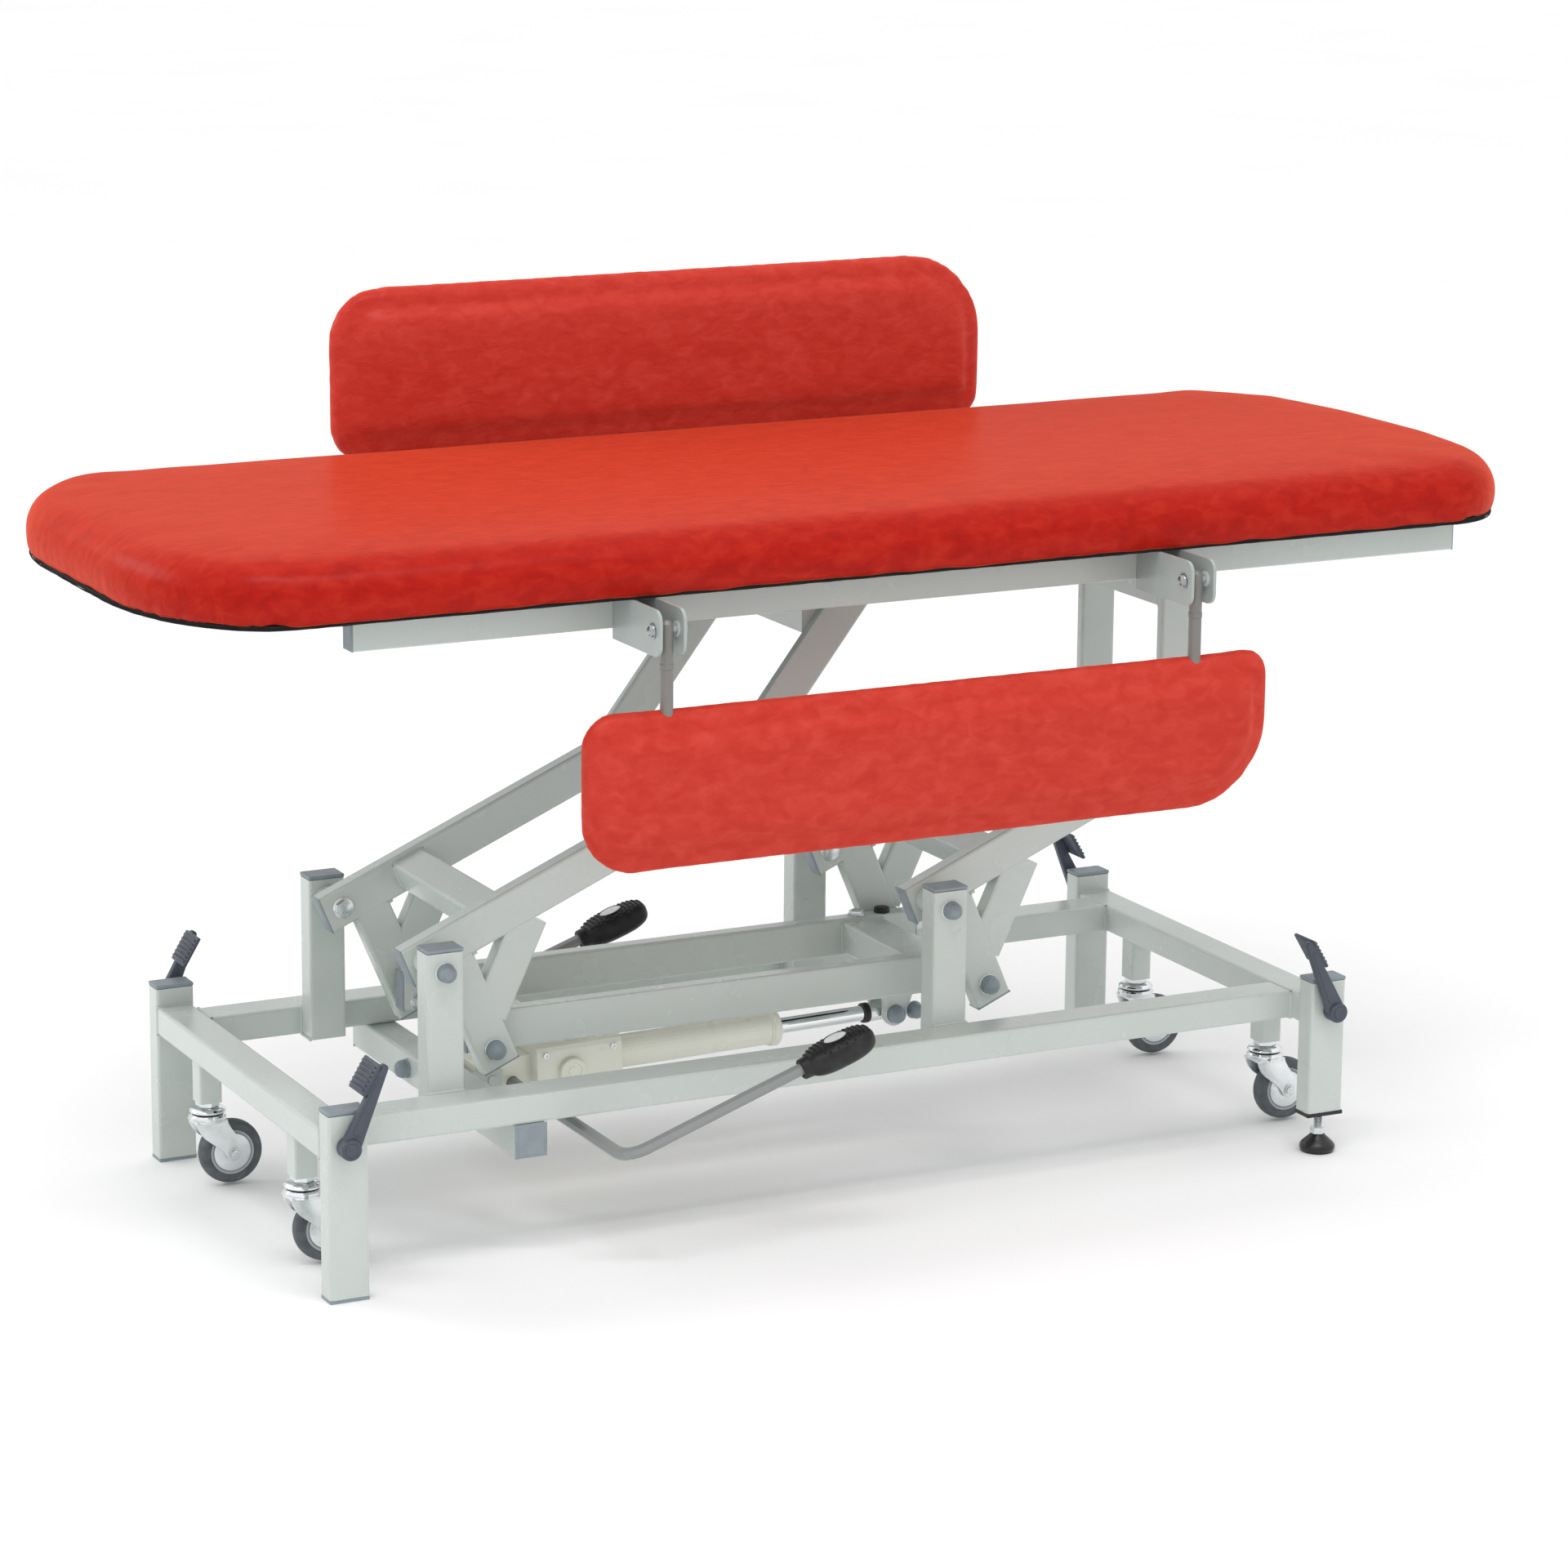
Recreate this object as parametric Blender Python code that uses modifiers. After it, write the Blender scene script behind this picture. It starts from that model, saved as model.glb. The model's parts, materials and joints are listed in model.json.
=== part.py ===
"""Height-adjustable hygiene table on a castor base, with two fold-down padded side rails.

Metres, +Z up. The origin is on the floor, midway between the ends and the sides of the table:
+X runs towards the end that the lifting arms point to, and -Y is the front.
Run with: blender --background --python part.py
"""

import math

import bmesh
import bpy
from mathutils import Matrix, Vector

# Overall layout. X is measured from the outer face of the left legs until LEFT is added.
LEFT = -0.740
BASE_LENGTH = 1.410
BASE_HALF_WIDTH = 0.3145
RIGHT = LEFT + BASE_LENGTH
GAP = 0.0003

# Base frame tubes.
LEG_X = 0.0509
LEG_Y = 0.0314
LEG_TOP = 0.2363
CAP_HEIGHT = 0.0047
SHORT_LEG_BOTTOM = 0.0512
TUBE_CORNER = 0.0035
RAIL_BOTTOM = 0.1716
RAIL_TOP = 0.2083
END_RAIL_X = 0.0480
LONG_RAIL_OUTER_Y = 0.2612
LONG_RAIL_INNER_Y = 0.2098
UPRIGHT_X = 0.0484
UPRIGHT_INNER_Y = 0.1763
UPRIGHT_TOP = 0.3872
CROSS_TUBE_X = (LEFT + 0.262, LEFT + 0.304)
CROSS_TUBE_BOTTOM = 0.1296

# Lifting linkage: two equal cranked arm frames make a parallelogram with the top frame.
ARM_PIVOTS_X = (LEFT + 0.1945, LEFT + 0.8850)
ARM_PIVOT_Z = 0.358
ARM_ANGLE = math.radians(23.2)
ARM_LENGTH = 0.4195
ARM_END = 0.024
ARM_WIDTH = 0.050
ARM_OUTER_Y = 0.1475
ARM_INNER_Y = 0.1225
CRANK = (0.0910, -0.1240)
CRANK_LEG_ANGLE = math.radians(113.2)
BRACE_ANGLE = math.radians(65.0)
BRACE_POINT = (0.1025, -0.0437)
ARM_TIE_AT = 0.104
BOLT_R = 0.006
BOLT_HOLE_R = 0.0064
BOSS_R = 0.017

# Link frame that drives both cranks.
LINK_OUTER_Y = 0.1145
LINK_INNER_Y = 0.0895
LINK_Z = (0.222, 0.272)
LINK_END = 0.022

# Top frame, mattress and side rails.
TOP_RAIL_X = (LEFT + 0.044, LEFT + 1.555)
TOP_RAIL_OUTER_Y = 0.3025
TOP_RAIL_INNER_Y = 0.2745
TOP_RAIL_Z = (0.782, 0.826)
STRUT_Y = (0.1495, 0.1645)
STRUT_ANGLE = math.radians(52.4)
POST_Y = (0.0940, 0.1090)
STRUT_WIDTH = 0.050
MATTRESS_HALF_X = 0.940
MATTRESS_HALF_Y = 0.366
MATTRESS_Z = (0.8323, 0.9060)
MATTRESS_CORNER = (0.155, 0.260)
BOARD_INSET = 0.012
SIDE_PIVOT_Y = 0.4145
SIDE_PIVOT_Z = 0.800
SIDE_TUBES_X = (LEFT + 0.390, LEFT + 1.105)
SIDE_TUBE_R = 0.008
# Of each padded panel: its limits along X, and its near and far edges' distances from the pivot.
PANELS = {
    "front": ((LEFT + 0.280, LEFT + 1.213), 0.093, 0.290),
    "rear": ((LEFT + 0.300, LEFT + 1.262), 0.080, 0.300),
}
PANEL_CORNERS = (0.070, 0.110, 0.032, 0.045)
PANEL_HALF_THICKNESS = 0.0225

# Hydraulic pump and its pedals.
PUMP_PIVOT = (LEFT + 0.330, 0.1575)
ROD_END = (LEFT + 0.908, 0.1700)
CYLINDER_R = 0.0215
ROD_R = 0.010
PEDAL_AXIS = (LEFT + 0.3625, 0.147)
PEDAL_ANGLE = math.radians(19.3)
PEDAL_Y = (-0.3645, 0.2860)
PEDAL_ROD_R = 0.008

# Castors, their levers and the levelling foot.
CASTOR_INSET_X = 0.024
CASTOR_Y = 0.1655
CASTOR_POST = 0.030
CASTOR_TRAIL = 0.029
WHEEL_R = 0.0415
WHEEL_Z = 0.0445
LEVER_INSET_X = 0.022
LEVER_Z = 0.194
LEVER_LEAN = math.radians(25.0)

COLOURS = {
    "paint": ((0.74, 0.80, 0.77, 1), 0.35, 0.0),
    "cap": ((0.30, 0.34, 0.37, 1), 0.50, 0.0),
    "black": ((0.02, 0.02, 0.02, 1), 0.45, 0.0),
    "zinc": ((0.75, 0.77, 0.78, 1), 0.25, 1.0),
    "lever": ((0.07, 0.08, 0.11, 1), 0.50, 0.0),
    "wheel": ((0.15, 0.16, 0.17, 1), 0.60, 0.0),
    "grey_paint": ((0.28, 0.28, 0.27, 1), 0.40, 0.0),
    "pump": ((0.82, 0.80, 0.68, 1), 0.35, 0.0),
    "vinyl": ((0.62, 0.03, 0.015, 1), 0.45, 0.0),
    "board": ((0.03, 0.03, 0.03, 1), 0.80, 0.0),
}


# ---------------------------------------------------------------- shape helpers

def temporary(mesh, name="shape"):
    obj = bpy.data.objects.new(name, mesh)
    bpy.context.scene.collection.objects.link(obj)
    return obj


def from_bmesh(bm):
    bmesh.ops.recalc_face_normals(bm, faces=bm.faces)
    mesh = bpy.data.meshes.new("shape")
    bm.to_mesh(mesh)
    bm.free()
    return temporary(mesh)


def block(x, y, z, corner=0.0, along="X", segments=2):
    """A box between the given pairs of limits, with rounded edges along one axis, or along all."""
    bm = bmesh.new()
    bmesh.ops.create_cube(bm, size=1.0)
    size = Vector((x[1] - x[0], y[1] - y[0], z[1] - z[0]))
    centre = Vector((sum(x) / 2, sum(y) / 2, sum(z) / 2))
    bmesh.ops.scale(bm, vec=size, verts=bm.verts)
    if corner:
        axes = {"X": 0, "Y": 1, "Z": 2}
        edges = bm.edges[:]
        if along in axes:
            edges = [e for e in edges if abs((e.verts[0].co - e.verts[1].co)[axes[along]]) > 1e-6]
        bmesh.ops.bevel(bm, geom=edges, offset=corner, segments=segments, profile=0.5, affect="EDGES")
    bmesh.ops.translate(bm, vec=centre, verts=bm.verts)
    return from_bmesh(bm)


def bar(start, end, y, width, corner=TUBE_CORNER):
    """A rectangular tube that lies in an XZ plane, from one (x, z) point to another."""
    run = Vector((end[0] - start[0], 0, end[1] - start[1]))
    obj = block((0, run.length), y, (-width / 2, width / 2), corner, "X")
    turn = Matrix.Rotation(-math.atan2(run.z, run.x), 4, "Y")
    obj.data.transform(Matrix.Translation((start[0], 0, start[1])) @ turn)
    return obj


def rod(start, end, radius, sides=16, end_radius=None):
    """A cylinder, or a cone, between two points."""
    start = Vector(start)
    run = Vector(end) - start
    bm = bmesh.new()
    far = radius if end_radius is None else end_radius
    bmesh.ops.create_cone(bm, cap_ends=True, segments=sides, radius1=radius, radius2=far, depth=run.length)
    turn = run.to_track_quat("Z", "Y").to_matrix().to_4x4()
    bmesh.ops.transform(bm, matrix=Matrix.Translation(start + run / 2) @ turn, verts=bm.verts)
    return from_bmesh(bm)


def turned(profile, place, axis="Z", steps=24):
    """A turned solid. The profile's (radius, height) points run down its outer side."""
    mesh = bpy.data.meshes.new("profile")
    points = [(r, 0, h) for r, h in profile]
    closed = profile[0][0] > 0
    edges = [(i, i + 1) for i in range(len(points) - 1)]
    if closed:
        edges.append((len(points) - 1, 0))
    mesh.from_pydata(points, edges, [])
    obj = temporary(mesh)
    screw = obj.modifiers.new("turn", "SCREW")
    screw.steps = steps
    screw.render_steps = steps
    screw.use_merge_vertices = True
    screw.merge_threshold = 0.00001
    turn = {"Z": Matrix(), "Y": Matrix.Rotation(math.pi / 2, 4, "X"), "X": Matrix.Rotation(math.pi / 2, 4, "Y")}
    baked = bake(obj)
    baked.data.transform(Matrix.Translation(place) @ turn[axis])
    return baked


def hull(*shapes):
    """The convex hull of some shapes."""
    bm = bmesh.new()
    for shape in shapes:
        for vertex in shape.data.vertices:
            bm.verts.new(vertex.co)
        discard(shape)
    bmesh.ops.convex_hull(bm, input=bm.verts[:])
    inner = [vertex for vertex in bm.verts if not vertex.link_faces]
    bmesh.ops.delete(bm, geom=inner, context="VERTS")
    bmesh.ops.dissolve_limit(bm, angle_limit=0.002, verts=bm.verts, edges=bm.edges)
    return from_bmesh(bm)


def discard(obj):
    mesh = obj.data
    bpy.data.objects.remove(obj)
    bpy.data.meshes.remove(mesh)


def bake(obj):
    """Replaces an object by a plain mesh of what its modifiers make."""
    graph = bpy.context.evaluated_depsgraph_get()
    mesh = bpy.data.meshes.new_from_object(obj.evaluated_get(graph))
    bm = bmesh.new()
    bm.from_mesh(mesh)
    bmesh.ops.remove_doubles(bm, verts=bm.verts, dist=0.000005)
    bmesh.ops.dissolve_degenerate(bm, dist=0.000005, edges=bm.edges)
    bm.to_mesh(mesh)
    bm.free()
    discard(obj)
    return temporary(mesh)


def joined(shapes, cuts=()):
    """The union of some shapes, less the cutting shapes."""
    main = shapes[0]
    others = [(s, "UNION") for s in shapes[1:]] + [(c, "DIFFERENCE") for c in cuts]
    for other, operation in others:
        step = main.modifiers.new("join", "BOOLEAN")
        step.operation = operation
        step.object = other
    result = bake(main)
    for other, _ in others:
        discard(other)
    return result


def mirrored(shape, x=1, y=1):
    """A mirror image in the planes X = 0 and Y = 0, where x or y is -1."""
    shape.data.transform(Matrix.Diagonal((x, y, 1, 1)))
    if x * y < 0:
        shape.data.flip_normals()
    return shape


def moved(shape, offset):
    shape.data.transform(Matrix.Translation(offset))
    return shape


def outline_slab(outline, plane, half, corner):
    """A flat outline, extruded by half its thickness each way, with rounded rims."""
    curve = bpy.data.curves.new("outline", "CURVE")
    curve.dimensions = "2D"
    curve.fill_mode = "BOTH"
    curve.extrude = half
    spline = curve.splines.new("POLY")
    spline.points.add(len(outline) - 1)
    for point, (u, v) in zip(spline.points, outline):
        point.co = (u, v, 0, 1)
    spline.use_cyclic_u = True
    obj = bpy.data.objects.new("outline", curve)
    bpy.context.scene.collection.objects.link(obj)
    graph = bpy.context.evaluated_depsgraph_get()
    mesh = bpy.data.meshes.new_from_object(obj.evaluated_get(graph))
    bpy.data.objects.remove(obj)
    bpy.data.curves.remove(curve)
    bm = bmesh.new()
    bm.from_mesh(mesh)
    bpy.data.meshes.remove(mesh)
    bmesh.ops.remove_doubles(bm, verts=bm.verts, dist=0.000005)
    bmesh.ops.dissolve_limit(bm, angle_limit=0.002, verts=bm.verts, edges=bm.edges)
    rims = [e for e in bm.edges if abs(e.verts[0].co.z - e.verts[1].co.z) < 1e-6]
    bmesh.ops.bevel(bm, geom=rims, offset=corner, segments=2, profile=0.5, affect="EDGES")
    if plane == "XZ":
        bmesh.ops.transform(bm, matrix=Matrix.Rotation(math.pi / 2, 4, "X"), verts=bm.verts)
    return from_bmesh(bm)


def rounded_outline(x, z, radii, steps=6):
    """Points round a rectangle whose corner radii start at (x[0], z[0]) and run anticlockwise."""
    points = []
    corners = ((x[0], z[0], 1, 1), (x[1], z[0], -1, 1), (x[1], z[1], -1, -1), (x[0], z[1], 1, -1))
    for index, (cx, cz, sx, sz) in enumerate(corners):
        radius = radii[index]
        first = math.pi + index * math.pi / 2
        for step in range(steps + 1):
            angle = first + step * math.pi / 2 / steps
            centre_x = cx + sx * radius
            centre_z = cz + sz * radius
            points.append((centre_x + radius * math.cos(angle), centre_z + radius * math.sin(angle)))
    return points


# ---------------------------------------------------------------- scene helpers

PARTS = None
BODY_PLACES = {}


def body(name, place, parent=None):
    """An empty on a joint's axis, which the pieces of one moving body hang from."""
    empty = bpy.data.objects.new(name, None)
    empty.empty_display_size = 0.03
    PARTS.objects.link(empty)
    place = Vector(place)
    if parent:
        empty.parent = parent
        empty.location = place - BODY_PLACES[parent.name]
    else:
        empty.location = place
    BODY_PLACES[empty.name] = place
    return empty


def piece(name, shape, finish, owner):
    """Names a finished shape, gives it a material and hangs it from its body."""
    colour, roughness, metallic = COLOURS[finish]
    material = bpy.data.materials.new(name)
    material.use_nodes = True
    shader = material.node_tree.nodes["Principled BSDF"]
    shader.inputs["Base Color"].default_value = colour
    shader.inputs["Roughness"].default_value = roughness
    shader.inputs["Metallic"].default_value = metallic
    shape.name = name
    shape.data.name = name
    shape.data.materials.clear()
    shape.data.materials.append(material)
    shape.data.shade_smooth()
    shape.data.set_sharp_from_angle(angle=math.radians(50))
    shape.data.transform(Matrix.Translation(-BODY_PLACES[owner.name]))
    shape.parent = owner
    bpy.context.scene.collection.objects.unlink(shape)
    PARTS.objects.link(shape)
    return shape


# ---------------------------------------------------------------- base frame

CORNERS = {"front_left": (-1, -1), "front_right": (1, -1), "rear_left": (-1, 1), "rear_right": (1, 1)}
SHORT_LEG = "front_right"


def leg_limits(side_x, side_y):
    x = (LEFT, LEFT + LEG_X) if side_x < 0 else (RIGHT - LEG_X, RIGHT)
    y = (side_y * BASE_HALF_WIDTH, side_y * (BASE_HALF_WIDTH - LEG_Y))
    return x, (min(y), max(y))


def inset(limits, amount):
    return limits[0] + amount, limits[1] - amount


def castor_x(side_x):
    return LEFT + CASTOR_INSET_X if side_x < 0 else RIGHT - CASTOR_INSET_X


def end_frame(side_x):
    """Two legs with the rail between them, which has a socket for each castor post."""
    shapes = []
    cuts = []
    for name, (sx, sy) in CORNERS.items():
        if sx != side_x:
            continue
        x, y = leg_limits(sx, sy)
        bottom = SHORT_LEG_BOTTOM + CAP_HEIGHT if name == SHORT_LEG else CAP_HEIGHT
        shapes.append(block(x, y, (bottom, LEG_TOP - CAP_HEIGHT - GAP), TUBE_CORNER, "Z"))
        reach = CASTOR_POST / 2 + 0.001
        cx = castor_x(sx)
        cy = sy * CASTOR_Y
        socket_top = RAIL_TOP - 0.009
        cuts.append(block((cx - reach, cx + reach), (cy - reach, cy + reach), (RAIL_BOTTOM - 0.01, socket_top)))
        if name == SHORT_LEG:
            fx, fy = sum(x) / 2, sum(y) / 2
            cuts.append(rod((fx, fy, bottom - 0.01), (fx, fy, bottom + 0.022), BOLT_HOLE_R))
    outer = 0.0004
    x = (LEFT + outer, LEFT + END_RAIL_X) if side_x < 0 else (RIGHT - END_RAIL_X, RIGHT - outer)
    reach_y = BASE_HALF_WIDTH - LEG_Y + 0.004
    shapes.append(block(x, (-reach_y, reach_y), (RAIL_BOTTOM, RAIL_TOP), TUBE_CORNER, "Y"))
    return joined(shapes, cuts)


def side_rail(side_y):
    """A long rail with its two uprights, and the spacer bosses that hold the arms off them."""
    rail_x = (LEFT + END_RAIL_X + GAP, RIGHT - END_RAIL_X - GAP)
    y = (-LONG_RAIL_OUTER_Y, -LONG_RAIL_INNER_Y)
    shapes = [block(rail_x, y, (RAIL_BOTTOM, RAIL_TOP), TUBE_CORNER, "X")]
    cuts = []
    for pivot_x in ARM_PIVOTS_X:
        x = (pivot_x - UPRIGHT_X / 2, pivot_x + UPRIGHT_X / 2)
        upright_y = (-LONG_RAIL_INNER_Y - 0.0005, -UPRIGHT_INNER_Y)
        upright_z = (RAIL_BOTTOM + 0.0003, UPRIGHT_TOP - CAP_HEIGHT - GAP)
        shapes.append(block(x, upright_y, upright_z, TUBE_CORNER, "Z"))
        boss_start = (pivot_x, -UPRIGHT_INNER_Y - 0.004, ARM_PIVOT_Z)
        boss_end = (pivot_x, -ARM_OUTER_Y - 0.0005, ARM_PIVOT_Z)
        shapes.append(rod(boss_start, boss_end, BOSS_R, 24))
        cut_start = (pivot_x, -LONG_RAIL_INNER_Y - 0.02, ARM_PIVOT_Z)
        cut_end = (pivot_x, -ARM_OUTER_Y + 0.01, ARM_PIVOT_Z)
        cuts.append(rod(cut_start, cut_end, BOLT_HOLE_R))
    return mirrored(joined(shapes, cuts), y=-side_y)


def domed_nut(place, axis_sign, radius=0.0112, height=0.017):
    """A domed nylon nut cap that stands out from place along Y."""
    dome = [(0.0, height), (radius * 0.5, height * 0.93), (radius * 0.87, height * 0.72), (radius, height * 0.42)]
    dome += [(radius, 0.0), (0.0, 0.0)]
    shape = turned(dome, (0, 0, 0), "Z", 16)
    turn = Matrix.Rotation(math.pi / 2 * (1 if axis_sign < 0 else -1), 4, "X")
    shape.data.transform(Matrix.Translation(place) @ turn)
    return shape


def hex_head(place, axis_sign, across=0.019, height=0.0075):
    """A hexagon bolt head with its washer face on place, standing out along Y."""
    end = Vector(place) + Vector((0, axis_sign * height, 0))
    return rod(place, end, across / math.sqrt(3), 6)


def through_bolt(place, nut_y, head_y):
    """A bolt along Y with a domed nut cap at nut_y and a hexagon head at head_y."""
    x, z = place
    sign = 1 if nut_y > head_y else -1
    shaft = rod((x, head_y - sign * 0.002, z), (x, nut_y + sign * 0.004, z), BOLT_R)
    nut = domed_nut((x, nut_y, z), sign)
    head = hex_head((x, head_y, z), -sign)
    return [shaft, nut, head]


def build_base(base):
    piece("left_end_frame", end_frame(-1), "paint", base)
    piece("right_end_frame", end_frame(1), "paint", base)
    piece("front_side_rail", side_rail(-1), "paint", base)
    piece("rear_side_rail", side_rail(1), "paint", base)
    for corner, (sx, sy) in CORNERS.items():
        x, y = leg_limits(sx, sy)
        cap = block(x, y, (LEG_TOP - CAP_HEIGHT, LEG_TOP), 0.0015, "all")
        piece(f"leg_cap_{corner}", cap, "cap", base)
        if corner == SHORT_LEG:
            centre = (sum(x) / 2, sum(y) / 2)
            plate_z = (SHORT_LEG_BOTTOM, SHORT_LEG_BOTTOM + CAP_HEIGHT - GAP)
            plate = block(inset(x, -0.001), inset(y, -0.001), plate_z, 0.001, "Z")
            hole = rod((*centre, SHORT_LEG_BOTTOM - 0.01), (*centre, SHORT_LEG_BOTTOM + 0.02), BOLT_HOLE_R)
            piece("foot_plate", joined([plate], [hole]), "black", base)
        else:
            plug = block(inset(x, 0.0004), inset(y, 0.0004), (0, CAP_HEIGHT - GAP), 0.001, "Z")
            piece(f"leg_plug_{corner}", plug, "cap", base)
        pivot_x = ARM_PIVOTS_X[0] if sx < 0 else ARM_PIVOTS_X[1]
        cap_x = (pivot_x - UPRIGHT_X / 2, pivot_x + UPRIGHT_X / 2)
        cap_y = sorted((sy * (LONG_RAIL_INNER_Y + 0.0005), sy * UPRIGHT_INNER_Y))
        upright_cap = block(cap_x, cap_y, (UPRIGHT_TOP - CAP_HEIGHT, UPRIGHT_TOP), 0.0015, "all")
        piece(f"upright_cap_{corner}", upright_cap, "cap", base)
        nut_y = sy * (LONG_RAIL_INNER_Y + 0.0005 + GAP)
        head_y = sy * (ARM_INNER_Y - 0.0005)
        bolt = joined(through_bolt((pivot_x, ARM_PIVOT_Z), nut_y, head_y))
        piece(f"pivot_bolt_{corner}", bolt, "zinc", base)
    build_cross_tube(base)


def build_cross_tube(base):
    """The square tube under both long rails, with the lugs and pin that the pump swings on."""
    z = (CROSS_TUBE_BOTTOM, RAIL_BOTTOM - GAP)
    shapes = [block(CROSS_TUBE_X, (-LONG_RAIL_OUTER_Y, LONG_RAIL_OUTER_Y), z, TUBE_CORNER, "Y")]
    lug_x = (CROSS_TUBE_X[1] - 0.004, PUMP_PIVOT[0] + 0.014)
    lug_z = (PUMP_PIVOT[1] - 0.016, PUMP_PIVOT[1] + 0.012)
    for sy in (-1, 1):
        shapes.append(block(lug_x, sorted((sy * 0.030, sy * 0.036)), lug_z))
        bolt_y = sy * 0.078
        bolt_z = (CROSS_TUBE_BOTTOM + RAIL_BOTTOM) / 2
        start = (CROSS_TUBE_X[0] + 0.002, bolt_y, bolt_z)
        middle = (CROSS_TUBE_X[0] - 0.010, bolt_y, bolt_z)
        end = (CROSS_TUBE_X[0] - 0.016, bolt_y, bolt_z)
        shapes.append(rod(start, middle, 0.0112, 16))
        shapes.append(rod((middle[0] + 0.001, bolt_y, bolt_z), end, 0.0105, 16, 0.005))
    pin_z = PUMP_PIVOT[1]
    shapes.append(rod((PUMP_PIVOT[0], -0.039, pin_z), (PUMP_PIVOT[0], 0.039, pin_z), BOLT_R))
    piece("lower_cross_tube", joined(shapes), "paint", base)


# ---------------------------------------------------------------- castors and feet

def castor_lever(sx, sy):
    """A foot lever: hub, tapered arm and a tread plate that reaches over the leg cap."""
    x = LEVER_INSET_X
    lean_x = math.sin(LEVER_LEAN)
    lean_z = math.cos(LEVER_LEAN)
    outer = -0.0005
    hub = rod((x, outer, LEVER_Z), (x, -0.022, LEVER_Z), 0.0130, 24)
    tip = (x + 0.104 * lean_x, LEVER_Z + 0.104 * lean_z)
    low = rod((x, -0.007, LEVER_Z), (x, -0.017, LEVER_Z), 0.0125, 16)
    high = rod((tip[0], -0.007, tip[1]), (tip[0], -0.017, tip[1]), 0.0045, 12)
    arm = hull(low, high)
    tread = block((-0.0025, 0.0025), (-0.0165, 0.030), (-0.021, 0.021), 0.002, "all", 1)
    tread_lean = LEVER_LEAN + math.radians(6.0)
    along = 0.085
    offset = -0.0085
    centre_x = x + along * lean_x + offset * lean_z
    centre_z = LEVER_Z + along * lean_z - offset * lean_x
    tread.data.transform(Matrix.Translation((centre_x, 0, centre_z)) @ Matrix.Rotation(tread_lean, 4, "Y"))
    shape = joined([arm, hub, tread])
    shape = moved(shape, (LEFT, -BASE_HALF_WIDTH, 0))
    if sx > 0:
        shape = moved(shape, (-LEFT, 0, 0))
        shape = moved(mirrored(shape, x=-1), (RIGHT, 0, 0))
    return mirrored(shape, y=-sy)


def castor_post(x, y):
    """The square post that the lever pushes down, with the nut of the castor's stem."""
    half = CASTOR_POST / 2
    post = block((x - half, x + half), (y - half, y + half), (0.114, 0.1965), 0.003, "Z")
    nut = rod((x, y, 0.1085), (x, y, 0.116), 0.0125, 6)
    return joined([post, nut])


def castor_fork(x, y):
    """Ball race, crown and two cheeks that reach down to the axle."""
    race = [(0.0, 0.108), (0.012, 0.108), (0.020, 0.1065), (0.0235, 0.103), (0.0205, 0.099)]
    race += [(0.0245, 0.095), (0.0235, 0.090), (0.018, 0.0872), (0.0, 0.0872)]
    shapes = [turned(race, (x, y, 0), steps=20)]
    axle = (x + CASTOR_TRAIL, WHEEL_Z)
    for sy in (-1, 1):
        sheet = sorted((y + sy * 0.0145, y + sy * 0.0175))
        top = block((x - 0.021, x + 0.021), sheet, (0.0872, 0.091))
        waist = block((x - 0.012, x + 0.034), sheet, (0.066, 0.070))
        boss = rod((axle[0], sheet[0], axle[1]), (axle[0], sheet[1], axle[1]), 0.010, 16)
        shapes.append(hull(top, waist, boss))
        nut_start = (axle[0], y + sy * 0.0165, axle[1])
        shapes.append(rod(nut_start, (axle[0], y + sy * 0.0230, axle[1]), 0.0065, 6))
    shapes.append(rod((axle[0], y - 0.018, axle[1]), (axle[0], y + 0.018, axle[1]), 0.004, 16))
    return joined(shapes)


def castor_wheel(x, y):
    """Tyre, rim and hub as one turned solid with a bore."""
    half = [(0.0045, 0.0125), (0.011, 0.0125), (0.0125, 0.009), (0.028, 0.009), (0.030, 0.0115), (0.038, 0.010)]
    half.append((WHEEL_R, 0.004))
    profile = half + [(r, -h) for r, h in reversed(half)]
    return turned(profile, (x + CASTOR_TRAIL, y, WHEEL_Z), "Y", 24)


def levelling_foot(x, y):
    """Threaded stem with its lock nut on a splayed pad."""
    pad = [(0.0, 0.036), (0.0090, 0.036), (0.0115, 0.030), (0.0225, 0.012), (0.0230, 0.005), (0.0205, 0.0)]
    pad.append((0.0, 0.0))
    shapes = [turned(pad, (x, y, 0), steps=28)]
    shapes.append(rod((x, y, 0.030), (x, y, 0.072), BOLT_R - 0.0003))
    shapes.append(rod((x, y, 0.0355), (x, y, 0.0445), 0.0098, 6))
    return joined(shapes)


def build_castors(base):
    for corner, (sx, sy) in CORNERS.items():
        lever_x = LEFT + LEVER_INSET_X if sx < 0 else RIGHT - LEVER_INSET_X
        lever = body(f"lever_axis_{corner}", (lever_x, sy * BASE_HALF_WIDTH, LEVER_Z), base)
        piece(f"castor_lever_{corner}", castor_lever(sx, sy), "lever", lever)
        x = castor_x(sx)
        y = sy * CASTOR_Y
        post = body(f"post_axis_{corner}", (x, y, RAIL_BOTTOM), base)
        piece(f"castor_post_{corner}", castor_post(x, y), "paint", post)
        swivel = body(f"swivel_axis_{corner}", (x, y, 0.108), post)
        piece(f"castor_fork_{corner}", castor_fork(x, y), "zinc", swivel)
        axle = body(f"axle_{corner}", (x + CASTOR_TRAIL, y, WHEEL_Z), swivel)
        piece(f"castor_wheel_{corner}", castor_wheel(x, y), "wheel", axle)
    x, y = leg_limits(*CORNERS[SHORT_LEG])
    place = (sum(x) / 2, sum(y) / 2)
    foot = body("foot_axis", (*place, SHORT_LEG_BOTTOM), base)
    piece("levelling_foot", levelling_foot(*place), "black", foot)


# ---------------------------------------------------------------- lifting linkage

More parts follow.
